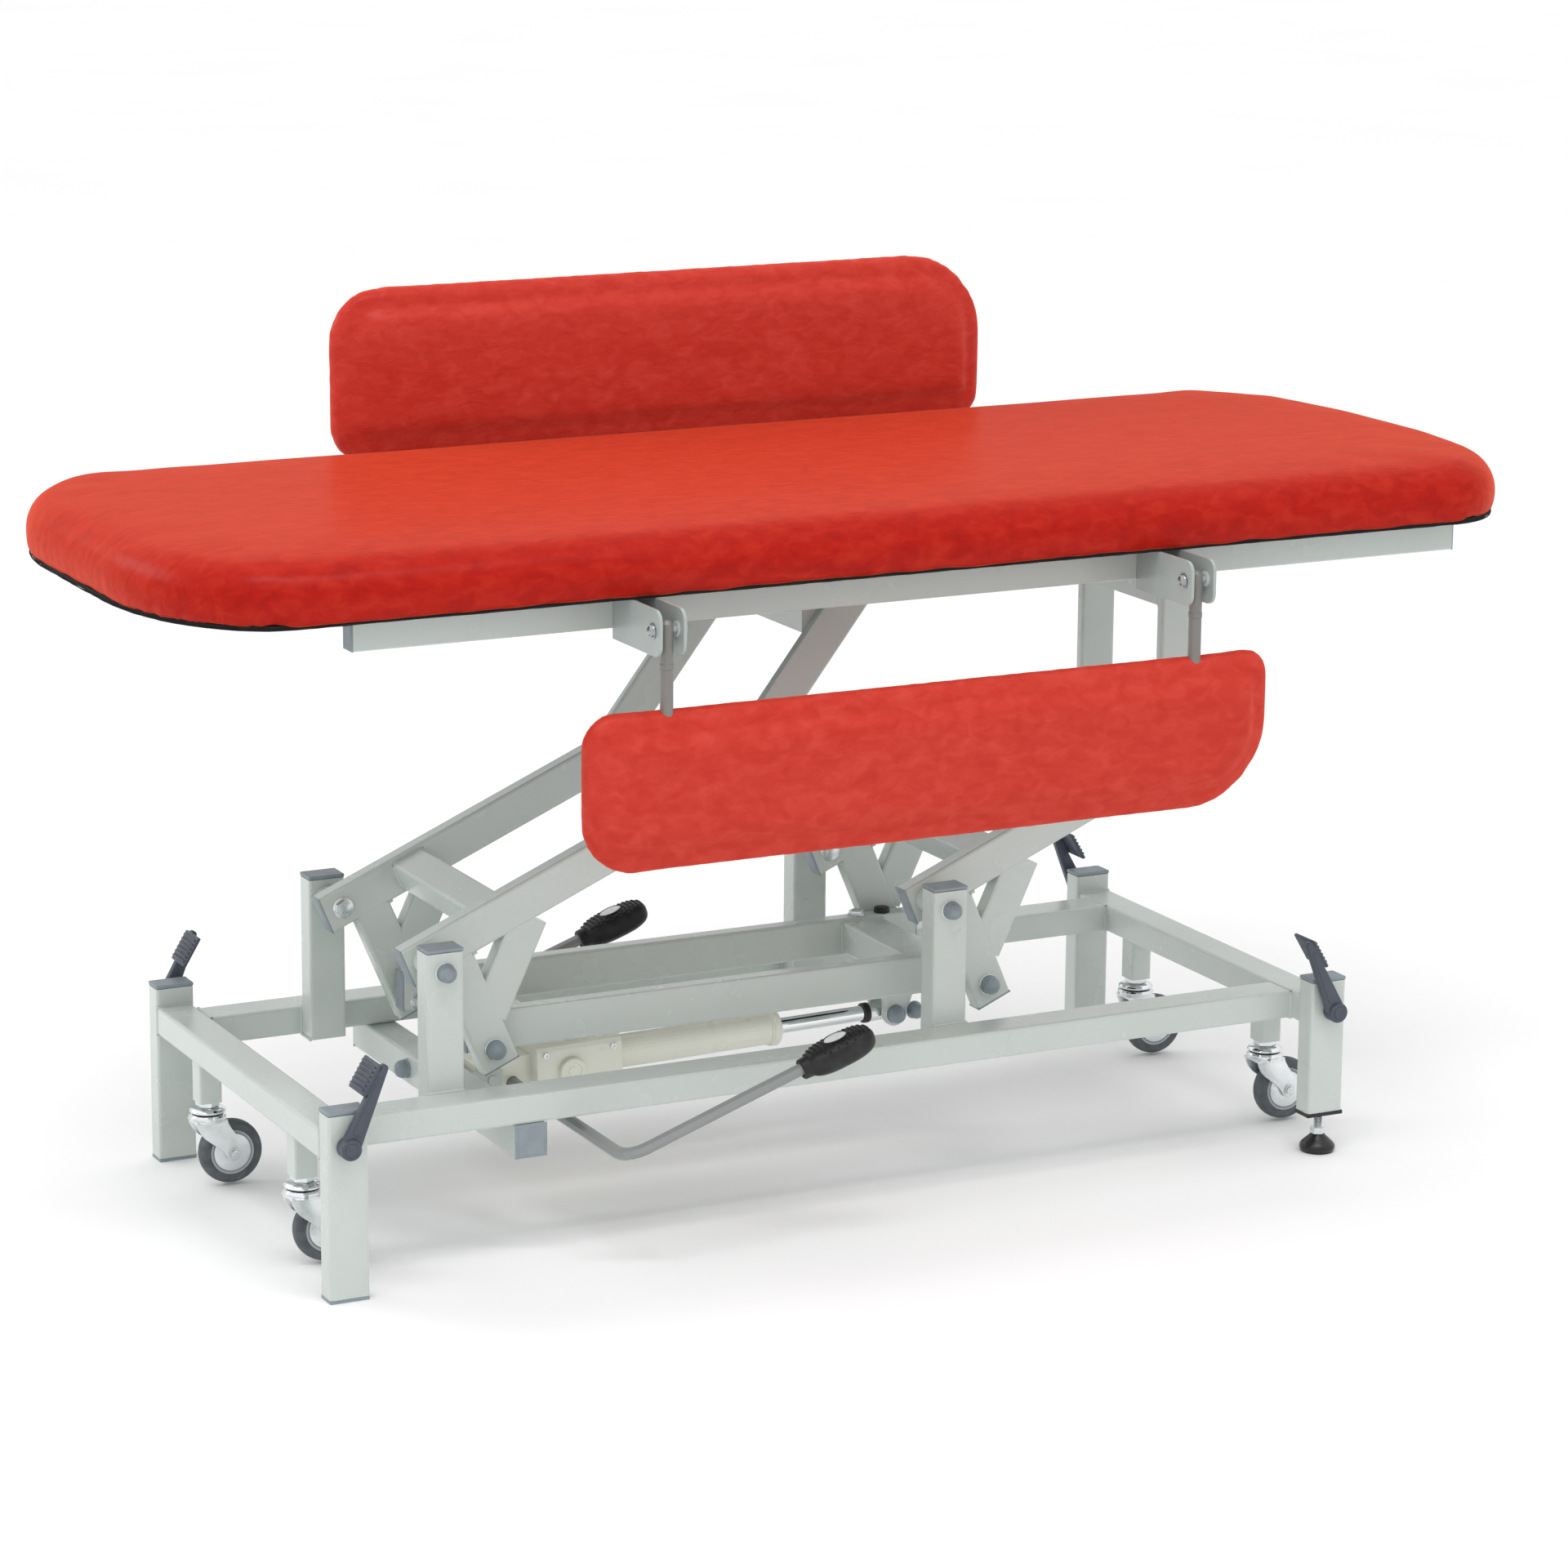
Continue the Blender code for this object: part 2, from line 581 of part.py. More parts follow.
def along_arm(pivot_x, distance, rise=0.0):
    """The (x, z) point at a distance along an arm from its lower pivot, and off its centre line."""
    x = pivot_x + distance * math.cos(ARM_ANGLE) - rise * math.sin(ARM_ANGLE)
    z = ARM_PIVOT_Z + distance * math.sin(ARM_ANGLE) + rise * math.cos(ARM_ANGLE)
    return x, z


def crank_pin(pivot_x):
    return pivot_x + CRANK[0], ARM_PIVOT_Z + CRANK[1]


def arm_frame(pivot_x, knee_bolts_outside):
    """Two cranked arms with the tie tube that joins them, and the bolts of their upper pivots."""
    shapes = []
    cuts = []
    knee = along_arm(pivot_x, ARM_LENGTH)
    pin = crank_pin(pivot_x)
    leg_dx = math.cos(CRANK_LEG_ANGLE)
    leg_dz = math.sin(CRANK_LEG_ANGLE)
    leg_start = (pin[0] - ARM_END * leg_dx, pin[1] - ARM_END * leg_dz)
    leg_end = (pin[0] + 0.135 * leg_dx, pin[1] + 0.135 * leg_dz)
    brace_middle = (pivot_x + BRACE_POINT[0], ARM_PIVOT_Z + BRACE_POINT[1])
    brace_dx = math.cos(BRACE_ANGLE)
    brace_dz = math.sin(BRACE_ANGLE)
    brace_start = (brace_middle[0] - 0.040 * brace_dx, brace_middle[1] - 0.040 * brace_dz)
    brace_end = (brace_middle[0] + 0.090 * brace_dx, brace_middle[1] + 0.090 * brace_dz)
    for sy in (-1, 1):
        y = sorted((sy * ARM_OUTER_Y, sy * ARM_INNER_Y))
        shapes.append(bar(along_arm(pivot_x, -ARM_END), along_arm(pivot_x, ARM_LENGTH + ARM_END), y, ARM_WIDTH))
        plate_y = inset(y, 0.0004)
        shapes.append(bar(leg_start, leg_end, plate_y, ARM_WIDTH))
        shapes.append(bar(brace_start, brace_end, inset(y, 0.0008), ARM_WIDTH - 0.002))
        for hole_x, hole_z in ((pivot_x, ARM_PIVOT_Z), pin):
            cuts.append(rod((hole_x, sy * 0.10, hole_z), (hole_x, sy * 0.17, hole_z), BOLT_HOLE_R))
        if knee_bolts_outside:
            shaft_ends = (ARM_INNER_Y + 0.01, STRUT_Y[1] + 0.002)
            head_y = STRUT_Y[1] + 0.0005
            outward = sy
        else:
            shaft_ends = (ARM_INNER_Y + 0.01, POST_Y[0] - 0.002)
            head_y = POST_Y[0] - 0.0005
            outward = -sy
            boss_end = (knee[0], sy * (POST_Y[1] + 0.0005), knee[1])
            shapes.append(rod((knee[0], sy * (ARM_INNER_Y + 0.003), knee[1]), boss_end, BOSS_R, 20))
        shaft = [(knee[0], sy * end, knee[1]) for end in shaft_ends]
        shapes.append(rod(shaft[0], shaft[1], BOLT_R))
        shapes.append(hex_head((knee[0], sy * head_y, knee[1]), outward))
    tie_start = along_arm(pivot_x, ARM_TIE_AT - 0.0225, -0.001)
    tie_end = along_arm(pivot_x, ARM_TIE_AT + 0.0225, -0.001)
    tie_y = (-ARM_INNER_Y - 0.004, ARM_INNER_Y + 0.004)
    shapes.append(tube_across(tie_start, tie_end, tie_y, 0.038))
    return joined(shapes, cuts)


def tube_across(start, end, y, depth):
    """A rectangular tube that runs along Y, with its section tilted to lie from start to end."""
    run = Vector((end[0] - start[0], 0, end[1] - start[1]))
    obj = block((0, run.length), y, (-depth / 2, depth / 2), TUBE_CORNER, "Y")
    turn = Matrix.Rotation(-math.atan2(run.z, run.x), 4, "Y")
    obj.data.transform(Matrix.Translation((start[0], 0, start[1])) @ turn)
    return obj


def link_frame():
    """Two long tubes between the cranks, their ties, pivot bolts and the lugs for the ram."""
    pins = [crank_pin(x) for x in ARM_PIVOTS_X]
    x = (pins[0][0] - LINK_END, pins[1][0] + LINK_END)
    tie_z = inset(LINK_Z, 0.004)
    shapes = [block((x[0] + 0.052, x[0] + 0.090), (-0.0935, 0.0935), tie_z, TUBE_CORNER, "Y")]
    ram_x = (ROD_END[0] - 0.020, ROD_END[0] + 0.040)
    shapes.append(block(ram_x, (-0.0930, 0.0930), tie_z, TUBE_CORNER, "Y"))
    for sy in (-1, 1):
        tube_y = sorted((sy * LINK_OUTER_Y, sy * LINK_INNER_Y))
        shapes.append(block(x, tube_y, LINK_Z, TUBE_CORNER, "X"))
        for px, pz in pins:
            start = (px, sy * (LINK_INNER_Y + 0.004), pz)
            shapes.append(rod(start, (px, sy * (ARM_OUTER_Y + 0.004), pz), BOLT_R))
            shapes.append(domed_nut((px, sy * (ARM_OUTER_Y + 0.0005), pz), sy))
            shapes.append(hex_head((px, sy * (LINK_INNER_Y + 0.0015), pz), -sy))
        lug_y = sorted((sy * 0.0165, sy * 0.0225))
        lug_top = block((ROD_END[0] - 0.018, ROD_END[0] + 0.036), lug_y, (LINK_Z[0] + 0.002, LINK_Z[0] + 0.010))
        lug_low = rod((ROD_END[0], lug_y[0], ROD_END[1]), (ROD_END[0], lug_y[1], ROD_END[1]), 0.0165, 20)
        shapes.append(hull(lug_top, lug_low))
        shapes.append(domed_nut((ROD_END[0], sy * 0.0220, ROD_END[1]), sy))
    tube_y = -(LINK_OUTER_Y + LINK_INNER_Y) / 2
    for screw_x, radius, sides in ((LEFT + 0.915, 0.0095, 6), (LEFT + 0.953, 0.0100, 20)):
        start = (screw_x, tube_y, LINK_Z[1] - 0.003)
        shapes.append(rod(start, (screw_x, tube_y, LINK_Z[1] + 0.006), radius, sides))
    return joined(shapes)


def build_linkage(base):
    """Returns the body that carries everything above the left arms."""
    left = body("left_arm_axis", (ARM_PIVOTS_X[0], 0, ARM_PIVOT_Z), base)
    piece("left_arm_frame", arm_frame(ARM_PIVOTS_X[0], True), "paint", left)
    right = body("right_arm_axis", (ARM_PIVOTS_X[1], 0, ARM_PIVOT_Z), base)
    piece("right_arm_frame", arm_frame(ARM_PIVOTS_X[1], False), "paint", right)
    pin = crank_pin(ARM_PIVOTS_X[0])
    link = body("link_axis", (pin[0], 0, pin[1]), left)
    piece("link_frame", link_frame(), "paint", link)
    knee = along_arm(ARM_PIVOTS_X[0], ARM_LENGTH)
    return body("top_axis", (knee[0], 0, knee[1]), left)


# ---------------------------------------------------------------- top frame and mattress

TIE_Z = (TOP_RAIL_Z[0] + 0.005, TOP_RAIL_Z[1] - 0.005)
TIE_HALF_Y = TOP_RAIL_INNER_Y - GAP


def top_frame():
    """Two long rails joined by a tube at each end."""
    shapes = []
    for sy in (-1, 1):
        y = sorted((sy * TOP_RAIL_OUTER_Y, sy * TOP_RAIL_INNER_Y))
        shapes.append(block(TOP_RAIL_X, y, TOP_RAIL_Z, 0.002, "X"))
    for end_x in (TOP_RAIL_X[0] + 0.060, TOP_RAIL_X[1] - 0.110):
        shapes.append(block((end_x, end_x + 0.050), (-TOP_RAIL_INNER_Y - 0.004, TOP_RAIL_INNER_Y + 0.004), TIE_Z))
    return joined(shapes)


def strut_frame_left():
    """The sloping struts over the left knees, with a tie and the cross tube between the rails."""
    knee = along_arm(ARM_PIVOTS_X[0], ARM_LENGTH)
    dx = math.cos(STRUT_ANGLE)
    dz = math.sin(STRUT_ANGLE)
    length = (TIE_Z[0] + 0.010 - knee[1]) / dz
    top = (knee[0] + length * dx, knee[1] + length * dz)
    start = (knee[0] - ARM_END * dx, knee[1] - ARM_END * dz)
    shapes = [block((top[0] - 0.034, top[0] + 0.034), (-TIE_HALF_Y, TIE_HALF_Y), TIE_Z, TUBE_CORNER, "Y")]
    cuts = []
    for sy in (-1, 1):
        shapes.append(bar(start, top, sorted((sy * STRUT_Y[0], sy * STRUT_Y[1])), STRUT_WIDTH))
        cuts.append(rod((knee[0], sy * 0.13, knee[1]), (knee[0], sy * 0.18, knee[1]), BOLT_HOLE_R))
    tie_x = top[0] - 0.091
    shapes.append(block((tie_x, tie_x + 0.042), (-STRUT_Y[0] - 0.003, STRUT_Y[0] + 0.003), (0.720, 0.762)))
    return joined(shapes, cuts)


def strut_frame_right():
    """The upright posts over the right knees, with a tie and the cross tube between the rails."""
    knee = along_arm(ARM_PIVOTS_X[1], ARM_LENGTH)
    half = STRUT_WIDTH / 2
    shapes = [block((knee[0] - 0.030, knee[0] + 0.030), (-TIE_HALF_Y, TIE_HALF_Y), TIE_Z, TUBE_CORNER, "Y")]
    cuts = []
    for sy in (-1, 1):
        y = sorted((sy * POST_Y[0], sy * POST_Y[1]))
        shapes.append(block((knee[0] - half, knee[0] + half), y, (knee[1] - ARM_END, TIE_Z[0] + 0.010), TUBE_CORNER, "Z"))
        cuts.append(rod((knee[0], sy * 0.08, knee[1]), (knee[0], sy * 0.12, knee[1]), BOLT_HOLE_R))
    shapes.append(block((knee[0] - 0.022, knee[0] + 0.020), (-POST_Y[0] - 0.003, POST_Y[0] + 0.003), (0.697, 0.737)))
    return joined(shapes, cuts)


def side_bracket(x, sy):
    """A channel that stands out from the rail, with round-nosed cheeks and the tube's pivot bolt."""
    face = TOP_RAIL_OUTER_Y + GAP
    nose = SIDE_PIVOT_Y + 0.018
    half_gap = SIDE_TUBE_R + 0.0055
    sheet = 0.004
    z = (SIDE_PIVOT_Z - 0.030, TOP_RAIL_Z[1] - 0.0005)
    shapes = [block((x - half_gap - 0.002, x + half_gap + 0.002), (face, face + sheet), z)]
    for side in (-1, 1):
        cheek_x = sorted((x + side * half_gap, x + side * (half_gap + sheet)))
        back = block(cheek_x, (face, face + 0.020), z)
        low = rod((cheek_x[0], nose - 0.014, z[0] + 0.014), (cheek_x[1], nose - 0.014, z[0] + 0.014), 0.014, 20)
        high = rod((cheek_x[0], nose - 0.014, z[1] - 0.014), (cheek_x[1], nose - 0.014, z[1] - 0.014), 0.014, 20)
        shapes.append(hull(back, low, high))
    reach = half_gap + sheet
    pin_start = (x - reach + 0.001, SIDE_PIVOT_Y, SIDE_PIVOT_Z)
    shapes.append(rod(pin_start, (x + reach + 0.007, SIDE_PIVOT_Y, SIDE_PIVOT_Z), 0.004, 16))
    for direction, radius, sides in ((-1, 0.0072, 16), (1, 0.0075, 6)):
        head_start = (x + direction * (reach - 0.001), SIDE_PIVOT_Y, SIDE_PIVOT_Z)
        head_end = (x + direction * (reach + 0.005), SIDE_PIVOT_Y, SIDE_PIVOT_Z)
        shapes.append(rod(head_start, head_end, radius, sides))
    return mirrored(joined(shapes), y=sy)


def cushion(inset_by, z, rim):
    """A slab with elliptical corners, which lies inside the mattress's outline by a distance."""
    corner_x, corner_y = (radius - inset_by for radius in MATTRESS_CORNER)
    half_x = MATTRESS_HALF_X - inset_by
    stretch = corner_y / corner_x
    half_y = (MATTRESS_HALF_Y - inset_by) / stretch
    outline = rounded_outline((-half_x, half_x), (-half_y, half_y), [corner_x] * 4, 8)
    outline = [(u, v * stretch) for u, v in outline]
    slab = outline_slab(outline, "XY", (z[1] - z[0]) / 2, rim)
    return moved(slab, (0, 0, sum(z) / 2))


def build_top(top):
    piece("top_frame", top_frame(), "paint", top)
    piece("left_strut_frame", strut_frame_left(), "paint", top)
    piece("right_strut_frame", strut_frame_right(), "paint", top)
    for end, x in zip(("left", "right"), SIDE_TUBES_X):
        for side, sy in (("front", -1), ("rear", 1)):
            piece(f"side_bracket_{side}_{end}", side_bracket(x, sy), "grey_paint", top)
    board_z = (TOP_RAIL_Z[1] + GAP, MATTRESS_Z[0] - GAP)
    piece("mattress_board", cushion(BOARD_INSET, board_z, 0.001), "board", top)
    piece("mattress", cushion(0.0, MATTRESS_Z, 0.022), "vinyl", top)


def side_tube_frame():
    """Two pivoted tubes with the flat bar inside the pad, drawn hanging down in the plane Y = 0."""
    shapes = [block((SIDE_TUBES_X[0], SIDE_TUBES_X[1]), (-0.006, 0.006), (-0.145, -0.110))]
    cuts = []
    for x in SIDE_TUBES_X:
        shapes.append(rod((x, 0, -0.150), (x, 0, 0.007), SIDE_TUBE_R, 20))
        shapes.append(rod((x, 0, 0.0065), (x, 0, 0.011), SIDE_TUBE_R, 20, 0.004))
        cuts.append(rod((x - 0.02, 0, 0), (x + 0.02, 0, 0), 0.0043))
    return joined(shapes, cuts)


def side_panel(x, near, far):
    """A padded panel, hanging down in the plane Y = 0, with the slot for the bar."""
    outline = rounded_outline(x, (-far, -near), PANEL_CORNERS)
    pad = outline_slab(outline, "XZ", PANEL_HALF_THICKNESS, 0.010)
    room = SIDE_TUBE_R + 0.001
    slot_x = (SIDE_TUBES_X[0] - room, SIDE_TUBES_X[1] + room)
    slot = block(slot_x, (-room, room), (-0.152, -near + 0.01))
    return joined([pad], [slot])


def build_side_rails(top):
    """The front rail hangs folded down, and the rear one stands up beside the mattress."""
    for side, sy in (("front", -1), ("rear", 1)):
        place = Vector((0, sy * SIDE_PIVOT_Y, SIDE_PIVOT_Z))
        owner = body(f"side_rail_axis_{side}", place, top)
        turn = Matrix.Translation(place)
        if side == "rear":
            turn = turn @ Matrix.Rotation(math.pi, 4, "X")
        panel = side_panel(*PANELS[side])
        for name, shape, finish in (("tubes", side_tube_frame(), "grey_paint"), ("panel", panel, "vinyl")):
            shape.data.transform(turn)
            piece(f"side_{name}_{side}", shape, finish, owner)


# ---------------------------------------------------------------- pump and pedals

def build_pump(base):
    """The pump swings on its pin, and the ram slides out of it along its axis."""
    pump = body("pump_axis", (PUMP_PIVOT[0], 0, PUMP_PIVOT[1]), base)
    ram = body("ram_axis", (ROD_END[0], 0, ROD_END[1]), pump)
    run = Vector((ROD_END[0] - PUMP_PIVOT[0], 0, ROD_END[1] - PUMP_PIVOT[1]))
    tilt = Matrix.Rotation(-math.atan2(run.z, run.x), 4, "Y")
    place = Matrix.Translation((PUMP_PIVOT[0], 0, PUMP_PIVOT[1])) @ tilt
    barrel_end = 0.415
    neck = block((-0.018, 0.075), (-0.0250, 0.0250), (-0.034, 0.022), 0.004, "Y")
    housing = block((0.058, 0.175), (-0.045, 0.045), (-0.050, 0.036), 0.008, "X")
    barrel = rod((0.160, 0, 0), (barrel_end, 0, 0), CYLINDER_R, 28)
    collar = rod((barrel_end - 0.014, 0, 0), (barrel_end - 0.002, 0, 0), CYLINDER_R + 0.0015, 28)
    boss = rod((0.105, -0.050, 0.0), (0.105, -0.040, 0.0), 0.017, 20)
    pin_hole = rod((0, -0.05, 0), (0, 0.05, 0), BOLT_HOLE_R)
    bore = rod((0.095, 0, 0), (barrel_end + 0.01, 0, 0), ROD_R + 0.0005, 24)
    shapes = [housing, neck, barrel, collar, boss]
    for shape in shapes + [pin_hole, bore]:
        shape.data.transform(place)
    shaft_hole = rod((PEDAL_AXIS[0], -0.06, PEDAL_AXIS[1]), (PEDAL_AXIS[0], 0.06, PEDAL_AXIS[1]), PEDAL_ROD_R + 0.0005)
    piece("pump_body", joined(shapes, [pin_hole, bore, shaft_hole]), "pump", pump)
    length = run.length
    ram_rod = rod((0.235, 0, 0), (length - 0.008, 0, 0), ROD_R, 24)
    eye = rod((length, -0.0150, 0), (length, 0.0150, 0), 0.0145, 20)
    ferrule = rod((length - 0.030, 0, 0), (length - 0.010, 0, 0), 0.0125, 20)
    for shape in (ram_rod, eye, ferrule):
        shape.data.transform(place)
    piece("ram_rod", joined([ram_rod, eye, ferrule]), "zinc", ram)
    build_pedals(pump)


def pedal_path():
    """Points along the pedal rod: up one arm, through the pump and up the other arm."""
    arm_reach = 0.290
    bend = 0.028
    along = Vector((math.cos(PEDAL_ANGLE), 0, math.sin(PEDAL_ANGLE)))
    points = []
    for y, inward in ((PEDAL_Y[0], 1), (PEDAL_Y[1], -1)):
        corner = Vector((PEDAL_AXIS[0], y, PEDAL_AXIS[1]))
        centre = corner + bend * (along + Vector((0, inward, 0)))
        side = [corner + arm_reach * along]
        for step in range(6):
            angle = step * math.pi / 10
            side.append(centre - bend * (Vector((0, inward, 0)) * math.cos(angle) + along * math.sin(angle)))
        points.append(side)
    return points[0] + points[1][::-1]


def build_pedals(pump):
    pedals = body("pedal_axis", (PEDAL_AXIS[0], 0, PEDAL_AXIS[1]), pump)
    curve = bpy.data.curves.new("pedal_rod", "CURVE")
    curve.dimensions = "3D"
    curve.bevel_depth = PEDAL_ROD_R
    curve.bevel_resolution = 2
    curve.use_fill_caps = True
    path = pedal_path()
    spline = curve.splines.new("POLY")
    spline.points.add(len(path) - 1)
    for point, place in zip(spline.points, path):
        point.co = (*place, 1)
    obj = bpy.data.objects.new("pedal_rod", curve)
    bpy.context.scene.collection.objects.link(obj)
    graph = bpy.context.evaluated_depsgraph_get()
    mesh = bpy.data.meshes.new_from_object(obj.evaluated_get(graph))
    bm = bmesh.new()
    bm.from_mesh(mesh)
    bmesh.ops.remove_doubles(bm, verts=bm.verts, dist=0.000005)
    bm.to_mesh(mesh)
    bm.free()
    bpy.data.objects.remove(obj)
    bpy.data.curves.remove(curve)
    piece("pedal_lever", temporary(mesh), "grey_paint", pedals)
    for name, y in zip(("front", "rear"), PEDAL_Y):
        piece(f"pedal_pad_{name}", pedal_pad(y), "black", pedals)


def pedal_pad(y):
    """A rubber foot pad, with the bore that it is pushed onto the rod by."""
    pad = block((0.246, 0.350), (-0.022, 0.022), (-0.020, 0.016), 0.0155, "all", 3)
    bore = rod((0.230, 0, 0), (0.2905, 0, 0), PEDAL_ROD_R + 0.0004)
    shape = joined([pad], [bore])
    place = Matrix.Translation((PEDAL_AXIS[0], y, PEDAL_AXIS[1])) @ Matrix.Rotation(-PEDAL_ANGLE, 4, "Y")
    shape.data.transform(place)
    return shape


def main():
    global PARTS
    for obj in list(bpy.data.objects):
        bpy.data.objects.remove(obj)
    PARTS = bpy.data.collections.new("hygiene_table")
    bpy.context.scene.collection.children.link(PARTS)
    base = body("base_origin", (0, 0, 0))
    build_base(base)
    build_castors(base)
    top = build_linkage(base)
    build_top(top)
    build_side_rails(top)
    build_pump(base)


main()
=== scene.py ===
"""The looks of the height-adjustable hygiene table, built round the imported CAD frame.

Metres, in the frame of the CAD. Every piece rides on the body that carries it. Shapes are made in mesh
code, the three padded pieces are swollen by cloth simulation, and every finish is made of shader nodes.
"""
import json
import math

import bmesh
import bpy
from mathutils import Matrix, Vector, noise


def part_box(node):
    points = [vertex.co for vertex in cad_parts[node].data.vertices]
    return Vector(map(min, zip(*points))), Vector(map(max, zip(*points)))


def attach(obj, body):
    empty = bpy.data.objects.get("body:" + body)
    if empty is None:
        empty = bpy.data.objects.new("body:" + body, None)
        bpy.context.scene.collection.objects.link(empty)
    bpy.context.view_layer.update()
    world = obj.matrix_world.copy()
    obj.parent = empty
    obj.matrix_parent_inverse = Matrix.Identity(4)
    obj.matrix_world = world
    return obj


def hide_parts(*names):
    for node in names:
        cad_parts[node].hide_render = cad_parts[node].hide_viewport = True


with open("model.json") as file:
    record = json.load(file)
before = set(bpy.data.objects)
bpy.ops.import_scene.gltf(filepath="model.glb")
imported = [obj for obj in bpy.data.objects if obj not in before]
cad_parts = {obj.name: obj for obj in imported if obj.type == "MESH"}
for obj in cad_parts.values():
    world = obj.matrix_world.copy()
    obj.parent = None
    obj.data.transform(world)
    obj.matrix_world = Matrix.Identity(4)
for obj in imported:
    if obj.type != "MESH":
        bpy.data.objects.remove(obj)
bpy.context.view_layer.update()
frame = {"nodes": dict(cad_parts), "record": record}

# Sizes shared with the CAD. The first few are read from its nodes.
END_LOW, END_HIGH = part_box("left_end_frame")
LEFT = round(END_LOW.x, 4)
RIGHT = round(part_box("right_end_frame")[1].x, 4)
HALF_WIDTH = round(END_HIGH.y, 4)
CORNERS = {"front_left": (-1, -1), "front_right": (1, -1), "rear_left": (-1, 1), "rear_right": (1, 1)}
SIDES = {"front": -1, "rear": 1}
ARM_PIVOTS_X = (LEFT + 0.1945, LEFT + 0.885)
ARM_PIVOT_Z = 0.358
ARM_ANGLE = math.radians(23.2)
ARM_LENGTH = 0.4195
ARM_END = 0.024
ARM_Y = (0.1225, 0.1475)
ARM_WIDTH = 0.05
CRANK = (0.091, -0.124)
CRANK_LEG_ANGLE = math.radians(113.2)
STRUT_ANGLE = math.radians(52.4)
TIE_AT = 0.104
# Directions along an arm and up its crank's leg, as (x, z) and as vectors. RISE is square to the arm.
ARM_WAY = (math.cos(ARM_ANGLE), math.sin(ARM_ANGLE))
LEG_WAY = (math.cos(CRANK_LEG_ANGLE), math.sin(CRANK_LEG_ANGLE))
ALONG = Vector((ARM_WAY[0], 0, ARM_WAY[1]))
RISE = Vector((-ALONG.z, 0, ALONG.x))
LEG = Vector((LEG_WAY[0], 0, LEG_WAY[1]))
# Half the width over the uprights, and the middle of the link's tubes, the top rails and the base rails.
UPRIGHT_HALF = 0.2103
LINK_Y, LINK_Z, LINK_TOP = 0.102, 0.247, 0.272
TOP_RAIL_Y, TOP_RAIL_Z, TOP_RAIL_LOW = 0.2885, 0.804, 0.787
BASE_RAIL_Z = 0.18995
# The pivots of the side rails, and the middle of their two tubes.
SIDE_PIVOT_Y, SIDE_PIVOT_Z = 0.4145, 0.8
SIDE_TUBES_X = (LEFT + 0.39, LEFT + 1.105)
PUMP_PIVOT = Vector((LEFT + 0.33, 0, 0.1575))
ROD_END = Vector((LEFT + 0.908, 0, 0.17))
PEDAL_AXIS = (LEFT + 0.3625, 0.147)
PEDAL_ANGLE = math.radians(19.3)
# How far from the pedal axis the middle of each grip lies, its reach (along, across, up, down), and the
# exponents of its superellipsoid (along, ring, across and up).
GRIP_AT = 0.3015
GRIP_SIZE = (0.0475, 0.0226, 0.0175, 0.0206)
GRIP_POWERS = (0.72, 0.62, 0.8)
# Corner radii of the side panels, radii along X and Y of the mattress corners, and how far the board under
# the mattress stands back from its edge.
PANEL_CORNERS = (0.07, 0.11, 0.032, 0.045)
MATTRESS_CORNER = (0.155, 0.26)
BOARD_INSET = 0.012
# Of the sky: the heights of a direction where its strength starts and stops rising, and the two strengths.
SKY = (0.0, 0.9, 0.72, 1.16)

TURN_Y = Matrix.Rotation(math.pi / 2, 4, "X")
TURN_X = Matrix.Rotation(math.pi / 2, 4, "Y")


# ---------------------------------------------------------------- finishes

